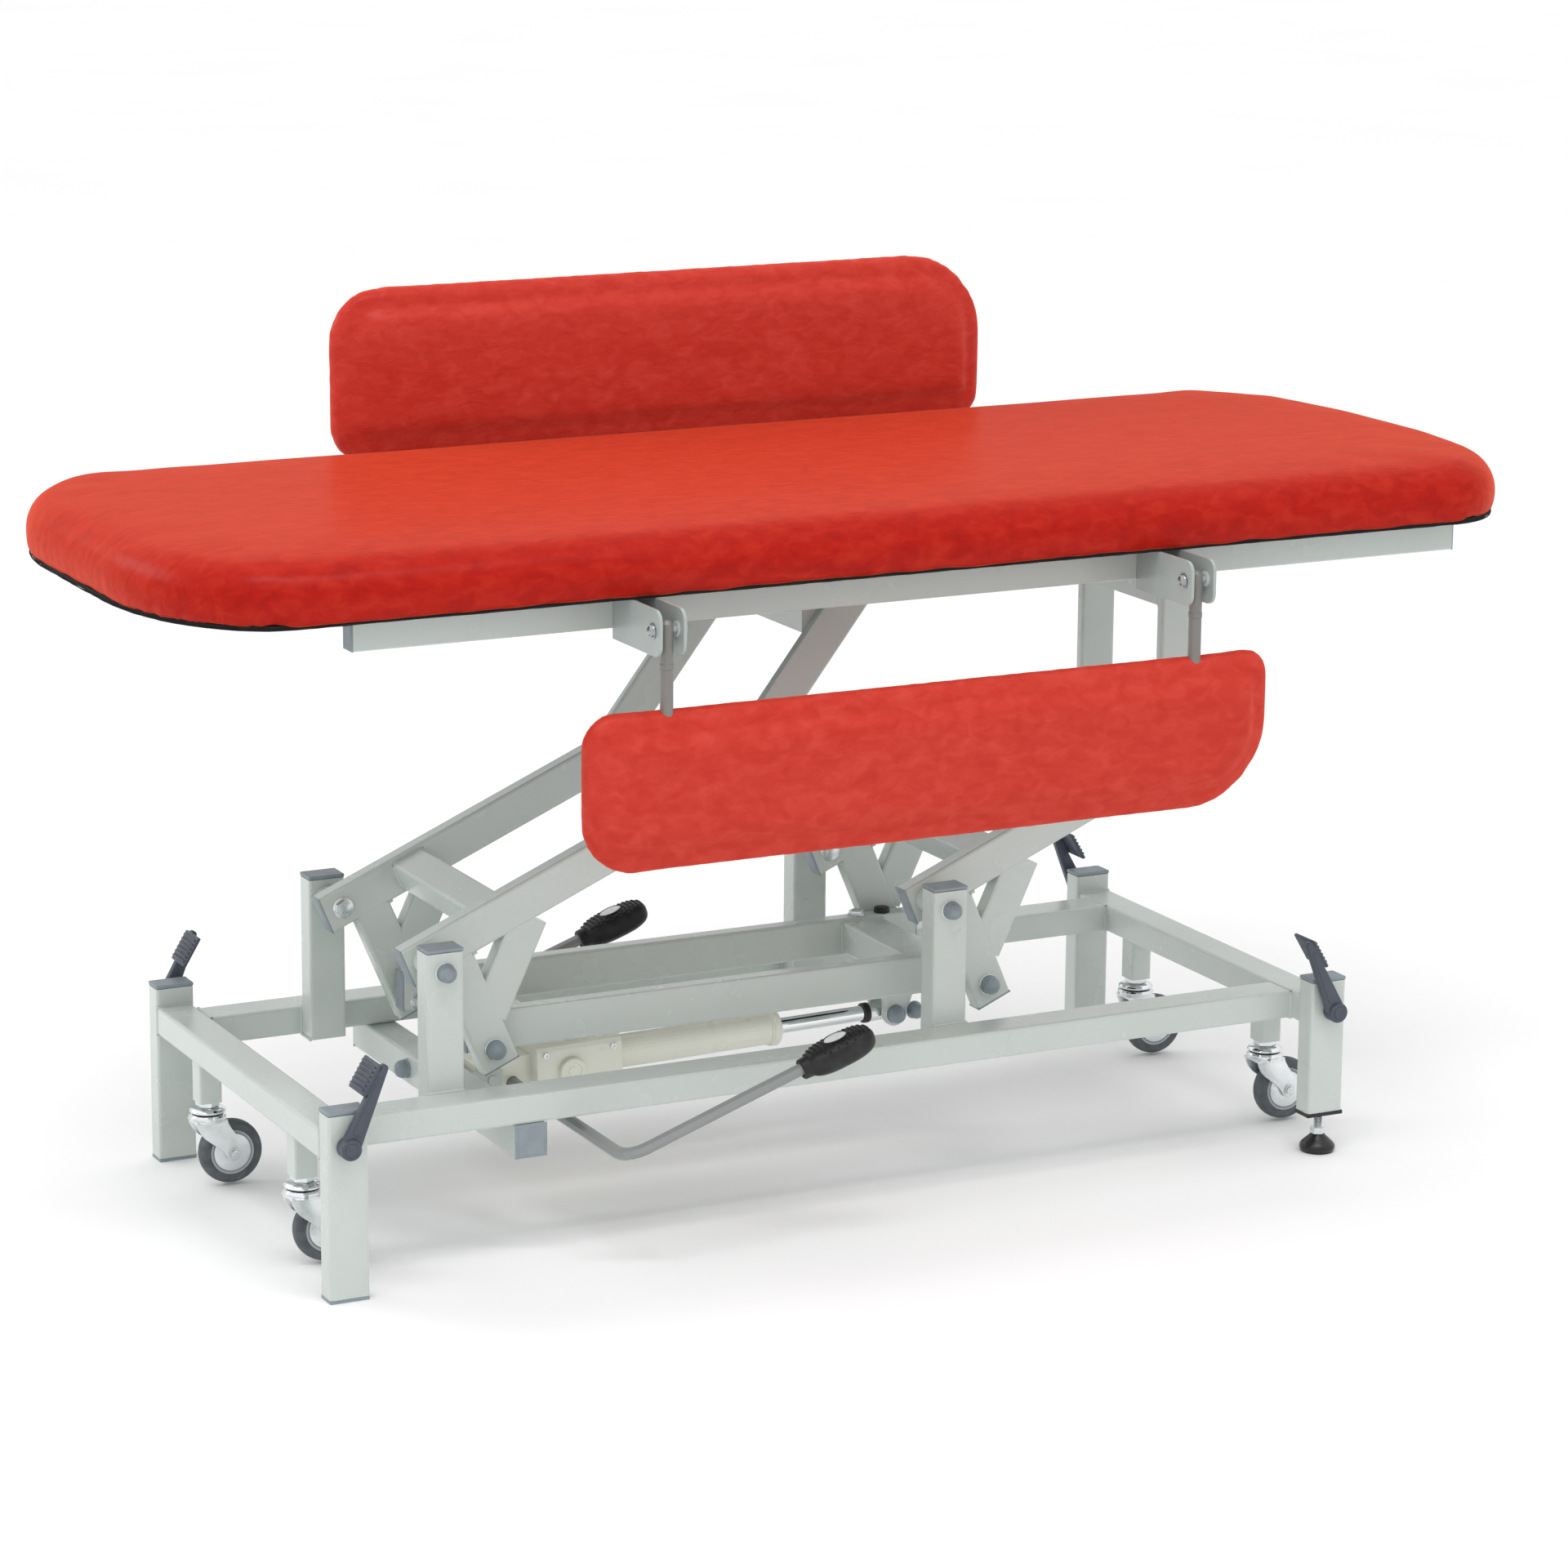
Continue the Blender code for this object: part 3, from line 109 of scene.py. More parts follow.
class Finish:
    """A Principled material whose colour, roughness and bump come from procedural textures."""

    def __init__(self, name, roughness=0.4, metallic=0.0, coat=0.0, specular=0.5):
        self.material = bpy.data.materials.new(name)
        self.material.use_nodes = True
        self.tree = self.material.node_tree
        self.shader = self.tree.nodes["Principled BSDF"]
        self.set("Roughness", roughness)
        self.set("Metallic", metallic)
        self.set("Coat Weight", coat)
        self.set("Specular IOR Level", specular)
        self.coords = self.tree.nodes.new("ShaderNodeTexCoord").outputs["Object"]

    def set(self, socket, value):
        self.shader.inputs[socket].default_value = value

    def link(self, start, end):
        self.tree.links.new(start, end)

    def node(self, kind, **values):
        made = self.tree.nodes.new(kind)
        for key, value in values.items():
            if key in made.inputs:
                made.inputs[key].default_value = value
            else:
                setattr(made, key, value)
        return made

    def texture(self, kind, scale, stretch=(1, 1, 1), **values):
        """A noise or Voronoi texture in object space, in cycles per metre."""
        mapping = self.node("ShaderNodeMapping")
        mapping.inputs["Scale"].default_value = stretch
        made = self.node(kind, Scale=scale, **values)
        self.link(self.coords, mapping.inputs["Vector"])
        self.link(mapping.outputs["Vector"], made.inputs["Vector"])
        return made

    def noise(self, scale, detail=3.0, stretch=(1, 1, 1), distortion=0.0):
        made = self.texture("ShaderNodeTexNoise", scale, stretch, Detail=detail, Distortion=distortion)
        return made.outputs["Fac"]

    def cells(self, scale):
        return self.texture("ShaderNodeTexVoronoi", scale).outputs["Distance"]

    def ramp(self, factor, stops):
        made = self.tree.nodes.new("ShaderNodeValToRGB")
        elements = made.color_ramp.elements
        while len(elements) < len(stops):
            elements.new(0.5)
        for element, (place, value) in zip(elements, stops):
            element.position = place
            element.color = (*value, 1) if isinstance(value, tuple) else (value, value, value, 1)
        self.link(factor, made.inputs["Fac"])
        return made.outputs["Color"]

    def colour(self, factor, stops):
        self.link(self.ramp(factor, stops), self.shader.inputs["Base Color"])

    def shade(self, factor, low, high):
        """Roughness from low to high as the factor runs from 0.3 to 0.7, where noise lies."""
        self.link(self.ramp(factor, [(0.3, low), (0.7, high)]), self.shader.inputs["Roughness"])

    def bump(self, *layers):
        """Layers of (height, distance in metres), the coarsest first."""
        normal = None
        for height, distance in layers:
            made = self.node("ShaderNodeBump", Strength=1.0, Distance=distance)
            self.link(height, made.inputs["Height"])
            if normal:
                self.link(normal, made.inputs["Normal"])
            normal = made.outputs["Normal"]
        self.link(normal, self.shader.inputs["Normal"])


def vinyl(name, stops, roughness):
    """Upholstery vinyl: cloudy colour, leather grain and faint creases."""
    made = Finish(name, coat=0.22, specular=0.0)
    cloud = made.noise(52, 10.0, (0.7, 1.2, 1.2), 0.6)
    made.colour(cloud, stops)
    made.shade(made.noise(38, 4.0), *roughness)
    creases = made.noise(42, 6.0, (0.6, 1.0, 1.3), 1.2)
    grain = made.cells(620)
    pores = made.noise(1700, 2.0)
    made.bump((creases, 0.0016), (grain, 0.00022), (pores, 0.00012))
    made.set("Coat Roughness", 0.3)
    made.set("Sheen Weight", 0.85)
    made.set("Sheen Roughness", 0.42)
    made.set("Sheen Tint", (1.0, 0.15, 0.07, 1))
    return made.material


def paint(name, colour, roughness=(0.2, 0.3)):
    """Powder coat: orange peel, faint cloudiness and a few rubbed flecks."""
    made = Finish(name, coat=0.25)
    made.set("Coat Roughness", 0.2)
    dark = tuple(c * 0.96 for c in colour)
    light = tuple(min(1.0, c * 1.03) for c in colour)
    made.colour(made.noise(5, 3.0), [(0.28, dark), (0.5, colour), (0.75, light)])
    made.shade(made.noise(14, 3.0), *roughness)
    made.bump((made.noise(45, 2.0), 0.00002), (made.noise(420, 2.0), 0.00002))
    return made.material


def plastic(name, colour, roughness=(0.42, 0.58)):
    """Moulded plastic with a fine spark-eroded texture."""
    made = Finish(name)
    dark = tuple(c * 0.86 for c in colour)
    made.colour(made.noise(55, 5.0), [(0.3, dark), (0.7, colour)])
    made.shade(made.noise(90, 3.0), *roughness)
    made.bump((made.noise(240, 2.0), 0.00012), (made.noise(2200, 2.0), 0.0001))
    return made.material


def rubber(name, colour, roughness=(0.55, 0.75)):
    """Moulded rubber: dull, with a dusty bloom."""
    made = Finish(name, specular=0.35)
    bloom = tuple(c * 1.5 + 0.01 for c in colour)
    made.colour(made.noise(70, 6.0), [(0.35, colour), (0.75, bloom)])
    made.shade(made.noise(120, 4.0), *roughness)
    made.bump((made.noise(300, 3.0), 0.00015), (made.cells(1500), 0.00008))
    return made.material


def steel(name, colours, roughness, grain=(1, 1, 1), depth=0.00003):
    """Plated or bright steel, with drawn grain along one direction and slightly uneven plating."""
    made = Finish(name, metallic=1.0)
    made.colour(made.noise(34, 5.0), [(0.3, colours[0]), (0.7, colours[1])])
    brushed = made.noise(900, 3.0, grain)
    made.shade(brushed, *roughness)
    made.bump((brushed, depth))
    return made.material


def fabric(name, colour):
    """Coarse woven backing cloth."""
    made = Finish(name, specular=0.2)
    threads = made.texture("ShaderNodeTexWave", 260, (1, 0, 0), wave_type="BANDS").outputs["Fac"]
    across = made.texture("ShaderNodeTexWave", 260, (0, 1, 0), bands_direction="Y").outputs["Fac"]
    made.colour(made.noise(25, 5.0), [(0.3, colour), (0.7, tuple(c * 1.7 for c in colour))])
    made.shade(made.noise(200, 2.0), 0.75, 0.95)
    made.bump((threads, 0.0003), (across, 0.0003))
    return made.material


SEAT_RED = [(0.32, (0.34, 0.006, 0.003)), (0.5, (0.4, 0.009, 0.004)), (0.7, (0.45, 0.018, 0.008))]
SIDE_RED = [(0.32, (0.5, 0.032, 0.021)), (0.5, (0.54, 0.04, 0.026)), (0.7, (0.58, 0.054, 0.038))]
VINYL = vinyl("seat_vinyl", SEAT_RED, (0.34, 0.48))
SIDE_VINYL = vinyl("side_vinyl", SIDE_RED, (0.36, 0.52))
PAINT = paint("frame_powder_coat", (0.555, 0.606, 0.575))
PEDAL_PAINT = paint("pedal_rod_paint", (0.25, 0.262, 0.262), (0.26, 0.36))
GREY_PAINT = paint("tube_grey_paint", (0.185, 0.178, 0.165), (0.32, 0.46))
BRACKET_PAINT = paint("bracket_silver_paint", (0.36, 0.405, 0.388), (0.28, 0.42))
PUMP_PAINT = paint("pump_cream_paint", (0.82, 0.82, 0.72), (0.24, 0.36))
CAP = plastic("grey_end_cap", (0.27, 0.32, 0.35))
NUT_CAP = plastic("nylon_nut_cap", (0.25, 0.3, 0.33), (0.26, 0.38))
LEVER = plastic("slate_lever_plastic", (0.06, 0.072, 0.098), (0.34, 0.5))
WHITE = plastic("pale_disc_plastic", (0.7, 0.74, 0.76), (0.25, 0.35))
TYRE = rubber("grey_tyre_rubber", (0.08, 0.09, 0.098))
RIM = plastic("tyre_rim_plastic", (0.4, 0.43, 0.45))
BLACK = rubber("black_rubber", (0.01, 0.01, 0.011), (0.38, 0.55))
GLOSS_BLACK = plastic("black_foot_plastic", (0.01, 0.01, 0.012), (0.18, 0.3))
ZINC = steel("bright_zinc", ((0.62, 0.66, 0.68), (0.8, 0.82, 0.82)), (0.16, 0.32))
SHEET_ZINC = steel("pressed_zinc_sheet", ((0.74, 0.78, 0.8), (0.88, 0.9, 0.9)), (0.24, 0.42))
DULL_ZINC = steel("dull_zinc", ((0.34, 0.36, 0.37), (0.46, 0.48, 0.48)), (0.24, 0.4))
CHROME = steel("chromed_rod", ((0.78, 0.8, 0.82), (0.84, 0.86, 0.87)), (0.05, 0.12), (0.04, 1, 1), 0.00001)
BOARD = fabric("black_backing_cloth", (0.012, 0.012, 0.013))

# The finishes of each material slot. The first one dresses the CAD nodes. WHITE belongs to no slot.
FINISHES = {
    "frame_paint": (PAINT,),
    "grey_cap": (CAP, NUT_CAP),
    "black_rubber": (BLACK, GLOSS_BLACK),
    "zinc_steel": (ZINC, SHEET_ZINC, DULL_ZINC, CHROME),
    "dark_plastic": (LEVER,),
    "castor_tyre": (TYRE, RIM),
    "grey_paint": (GREY_PAINT,),
    "pump_paint": (PUMP_PAINT,),
    "red_vinyl": (VINYL, SIDE_VINYL),
    "dark_board": (BOARD,),
}


# ---------------------------------------------------------------- shapes

def mm(*numbers):
    """Points of a profile or outline in metres, from a run of coordinates in millimetres."""
    return [(u / 1000, v / 1000) for u, v in zip(numbers[::2], numbers[1::2])]


def outward(bm):
    """Turns all faces to look out."""
    bmesh.ops.recalc_face_normals(bm, faces=bm.faces)
    return bm


def lathe(profile, steps):
    """A turned shape round Z from (radius, height) points that run down its outer side."""
    bm = bmesh.new()
    points = [bm.verts.new((radius, 0, height)) for radius, height in profile]
    edges = [bm.edges.new(pair) for pair in zip(points, points[1:])]
    bmesh.ops.spin(bm, geom=points + edges, axis=(0, 0, 1), cent=(0, 0, 0), steps=steps, angle=2 * math.pi)
    bmesh.ops.remove_doubles(bm, verts=bm.verts, dist=1e-6)
    return outward(bm)


def slab(outline, thickness, bevel):
    """A flat (x, z) outline, extruded by its thickness each side of Y = 0 and with rounded rims."""
    bm = bmesh.new()
    verts = [bm.verts.new((x, -thickness / 2, z)) for x, z in outline]
    face = bm.faces.new(verts)
    grown = bmesh.ops.extrude_face_region(bm, geom=[face])
    moved = [v for v in grown["geom"] if isinstance(v, bmesh.types.BMVert)]
    bmesh.ops.translate(bm, vec=(0, thickness, 0), verts=moved)
    outward(bm)
    rims = [e for e in bm.edges if abs(e.verts[0].co.y - e.verts[1].co.y) < 1e-7]
    bmesh.ops.bevel(bm, geom=rims, offset=bevel, segments=2, profile=0.5, affect="EDGES")
    return bm


def block(size, corner=0.001, segments=2):
    """A box round the origin with all its edges rounded."""
    bm = bmesh.new()
    bmesh.ops.create_cube(bm, size=1.0)
    bmesh.ops.scale(bm, vec=size, verts=bm.verts)
    bmesh.ops.bevel(bm, geom=bm.edges[:], offset=corner, segments=segments, profile=0.5, affect="EDGES")
    return bm


def hexagon(across, height, chamfer=0.0008):
    """A hexagon head standing on Z = 0, with its top corners turned off."""
    bm = bmesh.new()
    radius = across / math.sqrt(3)
    bmesh.ops.create_cone(bm, cap_ends=True, segments=6, radius1=radius, radius2=radius, depth=height)
    bmesh.ops.translate(bm, vec=(0, 0, height / 2), verts=bm.verts)
    top = [e for e in bm.edges if min(v.co.z for v in e.verts) > height * 0.9]
    bmesh.ops.bevel(bm, geom=top, offset=chamfer, segments=2, profile=0.6, affect="EDGES")
    return bm


def skin(rings, closed=False, capped=True):
    """Joins rings with equal numbers of points into one form, closed on itself or capped at both ends."""
    bm = bmesh.new()
    made = [[bm.verts.new(point) for point in ring] for ring in rings]
    for first, second in zip(made, made[1:] + (made[:1] if closed else [])):
        for index in range(len(first)):
            after = (index + 1) % len(first)
            bm.faces.new((first[index], first[after], second[after], second[index]))
    if capped and not closed:
        bm.faces.new(made[0][::-1])
        bm.faces.new(made[-1])
    return outward(bm)


def tube(points, radius, sides, closed, wander):
    """A round bead or wire along points, whose radius rises and falls by the share wander."""
    rings = []
    count = len(points)
    for index, point in enumerate(points):
        before = points[(index - 1) % count if closed else max(index - 1, 0)]
        after = points[(index + 1) % count if closed else min(index + 1, count - 1)]
        turn = (after - before).to_track_quat("Z", "Y").to_matrix()
        swell = radius * (1 + wander * noise.noise(point * 230))
        angles = [2 * math.pi * side / sides for side in range(sides)]
        rings.append([point + turn @ Vector((swell * math.cos(a), swell * math.sin(a), 0)) for a in angles])
    return skin(rings, closed)


def evenly(points, spacing, closed):
    """The points of a run, with others between them about a spacing apart."""
    points = [Vector(p) for p in points]
    run = points + ([points[0]] if closed else [])
    dense = []
    for start, end in zip(run, run[1:]):
        steps = max(1, int((end - start).length / spacing))
        dense += [start.lerp(end, step / steps) for step in range(steps)]
    return dense if closed else dense + [points[-1]]


def rounded_outline(x, z, radii, steps):
    """Points round a rectangle whose corner radii start at (x[0], z[0]) and run anticlockwise."""
    points = []
    corners = ((x[0], z[0], 1, 1), (x[1], z[0], -1, 1), (x[1], z[1], -1, -1), (x[0], z[1], 1, -1))
    for index, (cx, cz, sx, sz) in enumerate(corners):
        radius = max(radii[index], 0.0005)
        first = math.pi + index * math.pi / 2
        for step in range(steps + 1):
            angle = first + step * math.pi / 2 / steps
            points.append((cx + sx * radius + radius * math.cos(angle),
                           cz + sz * radius + radius * math.sin(angle)))
    return points


def merge(*shapes):
    """Several shapes as one mesh."""
    out = bmesh.new()
    for shape in shapes:
        mesh = bpy.data.meshes.new("part")
        shape.to_mesh(mesh)
        shape.free()
        out.from_mesh(mesh)
        bpy.data.meshes.remove(mesh)
    return out


def at(place, turn=Matrix()):
    """The matrix that turns a shape about the origin and then puts it in its place."""
    return Matrix.Translation(place) @ turn


def placed(bm, matrix):
    bmesh.ops.transform(bm, matrix=matrix, verts=bm.verts)
    return bm


def facing(sign, axis="Y"):
    """Turns +Z to point along plus or minus an axis."""
    target = {"X": Vector((1, 0, 0)), "Y": Vector((0, 1, 0)), "Z": Vector((0, 0, 1))}[axis] * sign
    return target.to_track_quat("Z", "Y").to_matrix().to_4x4()


def new_object(name, data):
    obj = bpy.data.objects.new(name, data)
    bpy.context.scene.collection.objects.link(obj)
    return obj


def add(name, bm, finish, body, matrix=None, smooth=40, replaces=()):
    """Makes a piece of a shape and hangs it on a body. Edges sharper than smooth, in degrees, stay sharp."""
    if matrix is not None:
        placed(bm, matrix)
        if matrix.determinant() < 0:
            bmesh.ops.reverse_faces(bm, faces=bm.faces)
    mesh = bpy.data.meshes.new(name)
    bm.to_mesh(mesh)
    bm.free()
    mesh.materials.append(finish)
    mesh.shade_smooth()
    mesh.set_sharp_from_angle(angle=math.radians(smooth))
    obj = new_object(name, mesh)
    if replaces:
        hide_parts(*replaces)
    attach(obj, body)
    return obj


# ---------------------------------------------------------------- padded pieces

SWELL_FRAMES = 20
SWELL_PRESSURE = 4.0


def swell(obj, voxel, cap, pinned):
    """Remeshes a closed form, blows it up a little as cloth and keeps each point within cap of its start."""
    bpy.context.view_layer.objects.active = obj
    remesh = obj.modifiers.new("even", "REMESH")
    remesh.mode = "VOXEL"
    remesh.voxel_size = voxel
    bpy.ops.object.modifier_apply(modifier=remesh.name)
    start = [v.co.copy() for v in obj.data.vertices]
    held = obj.vertex_groups.new(name="held")
    held.add([i for i, co in enumerate(start) if pinned(co)], 1.0, "REPLACE")
    cloth = obj.modifiers.new("fill", "CLOTH")
    cloth.settings.quality = 4
    cloth.settings.use_pressure = True
    cloth.settings.uniform_pressure_force = SWELL_PRESSURE
    cloth.settings.effector_weights.gravity = 0
    cloth.settings.vertex_group_mass = "held"
    cloth.collision_settings.use_collision = False
    cloth.point_cache.frame_end = SWELL_FRAMES
    for step in range(1, SWELL_FRAMES + 1):
        bpy.context.scene.frame_set(step)
    bpy.ops.object.modifier_apply(modifier=cloth.name)
    for vertex, rest in zip(obj.data.vertices, start):
        push = vertex.co - rest
        if push.length > cap:
            vertex.co = rest + push.normalized() * cap
    bpy.context.scene.frame_set(1)
    obj.vertex_groups.clear()
    smooth = obj.modifiers.new("even_out", "SMOOTH")
    smooth.factor = 0.5
    smooth.iterations = 6
    bpy.ops.object.modifier_apply(modifier=smooth.name)
    finer = obj.modifiers.new("finer", "SUBSURF")
    finer.levels = 1
    bpy.ops.object.modifier_apply(modifier=finer.name)
    obj.data.shade_smooth()


def pucker(obj, amount):
    """Moves each point along its normal by what amount(point, normal) says."""
    mesh = obj.data
    pushes = [amount(v.co, v.normal) for v in mesh.vertices]
    normals = [v.normal.copy() for v in mesh.vertices]
    for vertex, push, normal in zip(mesh.vertices, pushes, normals):
        vertex.co += normal * push
    mesh.update()


def oval_ring(half, inset_by, z):
    """The mattress outline at a distance inside its edge, with elliptical corners and bowed ends."""
    corner_x, corner_y = (radius - min(inset_by, radius * 0.92) for radius in MATTRESS_CORNER)
    stretch = corner_y / corner_x
    half_x = half[0] - inset_by
    half_y = (half[1] - inset_by) / stretch
    outline = rounded_outline((-half_x, half_x), (-half_y, half_y), [corner_x] * 4, 14)
    return [(x, y * stretch, z) for x, y in outline]


def edge_inset(co, half):
    """How far inside the mattress outline a point near the edge lies, round the corners as well."""
    corner_x, corner_y = MATTRESS_CORNER
    u = max(0.0, abs(co.x) - half[0] + corner_x) / corner_x
    v = max(0.0, abs(co.y) - half[1] + corner_y) / corner_y
    slope = 2 * math.hypot(u / corner_x, v / corner_y)
    return (1 - u * u - v * v) / slope if slope > 1e-6 else corner_x


def build_mattress():
    """The cover of the mattress, a cushion with folds above its hem, which hangs over the board's edge."""
    low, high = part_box("mattress")
    half = (high.x, high.y)
    tall = high.z - low.z
    rows = mm(
        120, 0, 14, 0, 7, 1, 3.6, 8.5, 2.4, 20, 3, 31, 7.2, 44, 16, 56.5, 28, 65, 44, 69.8, 76, 71.6,
        150, 72)
    shape = skin([oval_ring(half, inset_by, low.z + rise) for inset_by, rise in rows])
    obj = add("mattress_cover", shape, VINYL, "top", replaces=["mattress"])
    swell(obj, 0.01, 0.0032, lambda co: co.z < low.z + 0.004)

    def folds(co, normal):
        side = max(0.0, 1 - abs(normal.z) * 1.25)
        depth = (co.z - low.z) / tall
        around = Vector((co.x, co.y, 0))
        upright = noise.noise(around * 62) * 0.55 + noise.noise(around * 27) * 0.45
        hem = max(0.0, 1 - depth / 0.45)
        flat = noise.noise(Vector((co.x * 9, co.y * 14, 3))) * 0.0006 * max(0.0, normal.z)
        slow = noise.noise(around * 11) * 0.0007
        return side * (upright * (0.0006 + 0.0017 * hem) + slow) + flat

    pucker(obj, folds)
    for vertex in obj.data.vertices:
        co = vertex.co
        hem = max(0.0, 1 - (co.z - low.z) / 0.018)
        outer = min(1.0, max(0.0, (BOARD_INSET + 0.0045 - edge_inset(co, half)) / 0.005))
        hang = 0.0112 + 0.0026 * noise.noise(Vector((co.x, co.y, 0)) * 26)
        co.z = max(co.z, low.z) - hem * hang * outer
    build_backing_edge(low, high)


def build_backing_edge(low, high):
    """The dark backing cloth, which shows as a thin uneven line round the foot of the cover."""
    outline = [Vector(p) for p in oval_ring((high.x, high.y), 0.0115, low.z - 0.0058)]
    line = []
    for point in evenly(outline, 0.012, True):
        outward = Vector((point.x, point.y, 0)).normalized()
        sway = noise.noise(point * 21) * 0.0016 + noise.noise(point * 70) * 0.0008
        line.append(point + outward * sway + Vector((0, 0, 0.0001)))
    add("mattress_backing_edge", tube(line, 0.001, 6, True, 0.5), BOARD, "top")


# How much further each cover reaches towards its pivot than the solid inside it.
FOOT_REACH = {"front": 0.001, "rear": 0.007}


def panel_ring(x, z, inset_by, depth, face):
    """The panel's outline at a distance inside its edge and a depth towards its padded face."""
    radii = [radius - inset_by for radius in PANEL_CORNERS]
    x, z = ((span[0] + inset_by, span[1] - inset_by) for span in (x, z))
    outline = rounded_outline(x, z, radii, 8)
    return [(u, face * depth, v) for u, v in outline]


def build_side_panels():
    """Padded panels with a crowned face inside a softer border, drawn hanging down from Y = Z = 0."""
    for side, sy in SIDES.items():
        low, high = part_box(f"side_panel_{side}")
        pivot = Vector((0, (low.y + high.y) / 2, SIDE_PIVOT_Z))
        x = (low.x, high.x)
        far = max(abs(low.z - pivot.z), abs(high.z - pivot.z))
        near = min(abs(low.z - pivot.z), abs(high.z - pivot.z))
        rows = mm(
            40, -19, 16, -18.6, 6, -15.8, 1, -11, -0.6, -4, 0.2, 0, 3, 5, 8, 8.5, 15, 10.2, 23, 10.8,
            29, 12.2, 35, 16.5, 43, 19.8, 56, 21.2)
        z = (-far, -near + FOOT_REACH[side])
        rings = [panel_ring(x, z, inset_by, depth, sy) for inset_by, depth in rows]
        turn = Matrix.Rotation(math.pi, 4, "X") if side == "rear" else Matrix()
        name = f"side_panel_{side}"
        obj = add(f"{name}_cover", skin(rings), SIDE_VINYL, f"{side}_side", replaces=[name])
        foot_z = -near + 0.004
        swell(obj, 0.006, 0.0026, lambda co, foot=foot_z: co.z > foot and abs(co.y) < 0.012)

        def folds(co, normal, face=sy):
            rim = max(0.0, 1 - abs(normal.y) * 1.3)
            around = Vector((co.x, 0, co.z))
            fine = noise.noise(around * 75) * 0.0007 * rim
            edge = min(co.x - x[0], x[1] - co.x, co.z + far, -near - co.z)
            border = math.exp(-((edge - 0.027) / 0.008) ** 2) * -0.0012 if normal.y * face > 0 else 0.0
            pull = noise.noise(Vector((co.x * 8, 5, co.z * 14))) * 0.0007
            seam = math.exp(-(((co.y * face) + 0.0105) / 0.0016) ** 2) * -0.0009 * rim
            return fine + border + pull * (1 - rim) + seam

        pucker(obj, folds)
        obj.data.transform(at(pivot, turn))


# ---------------------------------------------------------------- fixings and caps

# Shares of the radius and of the height, and shares of the radius with heights in metres.
NUT_CAP_DOME = ((0, 1), (0.3, 0.985), (0.58, 0.92), (0.8, 0.79), (0.94, 0.62), (1, 0.42))
NUT_WASHER = ((0.5, 0.0006), (1.12, 0.0006), (1.16, 0.0003), (1.16, 0.0), (0.5, 0))


def nut_cap(place, sign, body, name, axis="Y", radius=0.0117, height=0.0174):
    """A domed nylon cap over a nut, with the rim of its flange and the washer behind it."""
    dome = [(radius * share, height * rise) for share, rise in NUT_CAP_DOME]
    dome += [(radius, 0.0022), (radius * 1.09, 0.0016), (radius * 1.09, 0.0003), (0, 0.0003)]
    turn = at(place, facing(sign, axis))
    add(name, lathe(dome, 28), NUT_CAP, body, turn, 50)
    washer = [(radius * share, z) for share, z in NUT_WASHER]
    add(f"{name}_washer", lathe(washer, 28), ZINC, body, turn)


def bolt_head(place, sign, body, name, axis="Y", across=0.0198, height=0.0082):
    """A hexagon head with its turned face, on a plain washer."""
    washer = [(0, 0.0016), (across * 0.66, 0.0016), (across * 0.7, 0.0012), (across * 0.7, 0.0), (0, 0)]
    face, rim = height + 0.0003, across * 0.42
    ring = [(0, face), (across * 0.36, face), (rim, height), (rim, height - 0.0005), (0, height - 0.0005)]
    shape = merge(hexagon(across, height), lathe(washer, 28), lathe(ring, 24))
    add(name, shape, ZINC, body, at(place, facing(sign, axis)), 30)


def end_plate(name, centre, direction, size, body):
    """A moulded plug in the end of a rectangular tube: a flange with a shallow panel in its face."""
    thick = 0.0022
    across, deep = size
    shape = block((thick, across, deep), min(0.0009, thick * 0.4))
    panel = block((0.0008, across - 0.008, deep - 0.008), 0.0003, 1)
    bmesh.ops.translate(panel, vec=(thick / 2, 0, 0), verts=panel.verts)
    angle = -math.atan2(direction[1], direction[0])
    offset = Vector((direction[0], 0, direction[1])) * (thick / 2 - 0.0004)
    turn = at(Vector(centre) + offset, Matrix.Rotation(angle, 4, "Y"))
    add(name, merge(shape, panel), CAP, body, turn)


def along_arm(pivot_x, distance, rise=0.0):
    """The (x, z) of a place on an arm, from its pivot along and above its middle line."""
    x = pivot_x + distance * math.cos(ARM_ANGLE) - rise * math.sin(ARM_ANGLE)
    z = ARM_PIVOT_Z + distance * math.sin(ARM_ANGLE) + rise * math.cos(ARM_ANGLE)
    return x, z


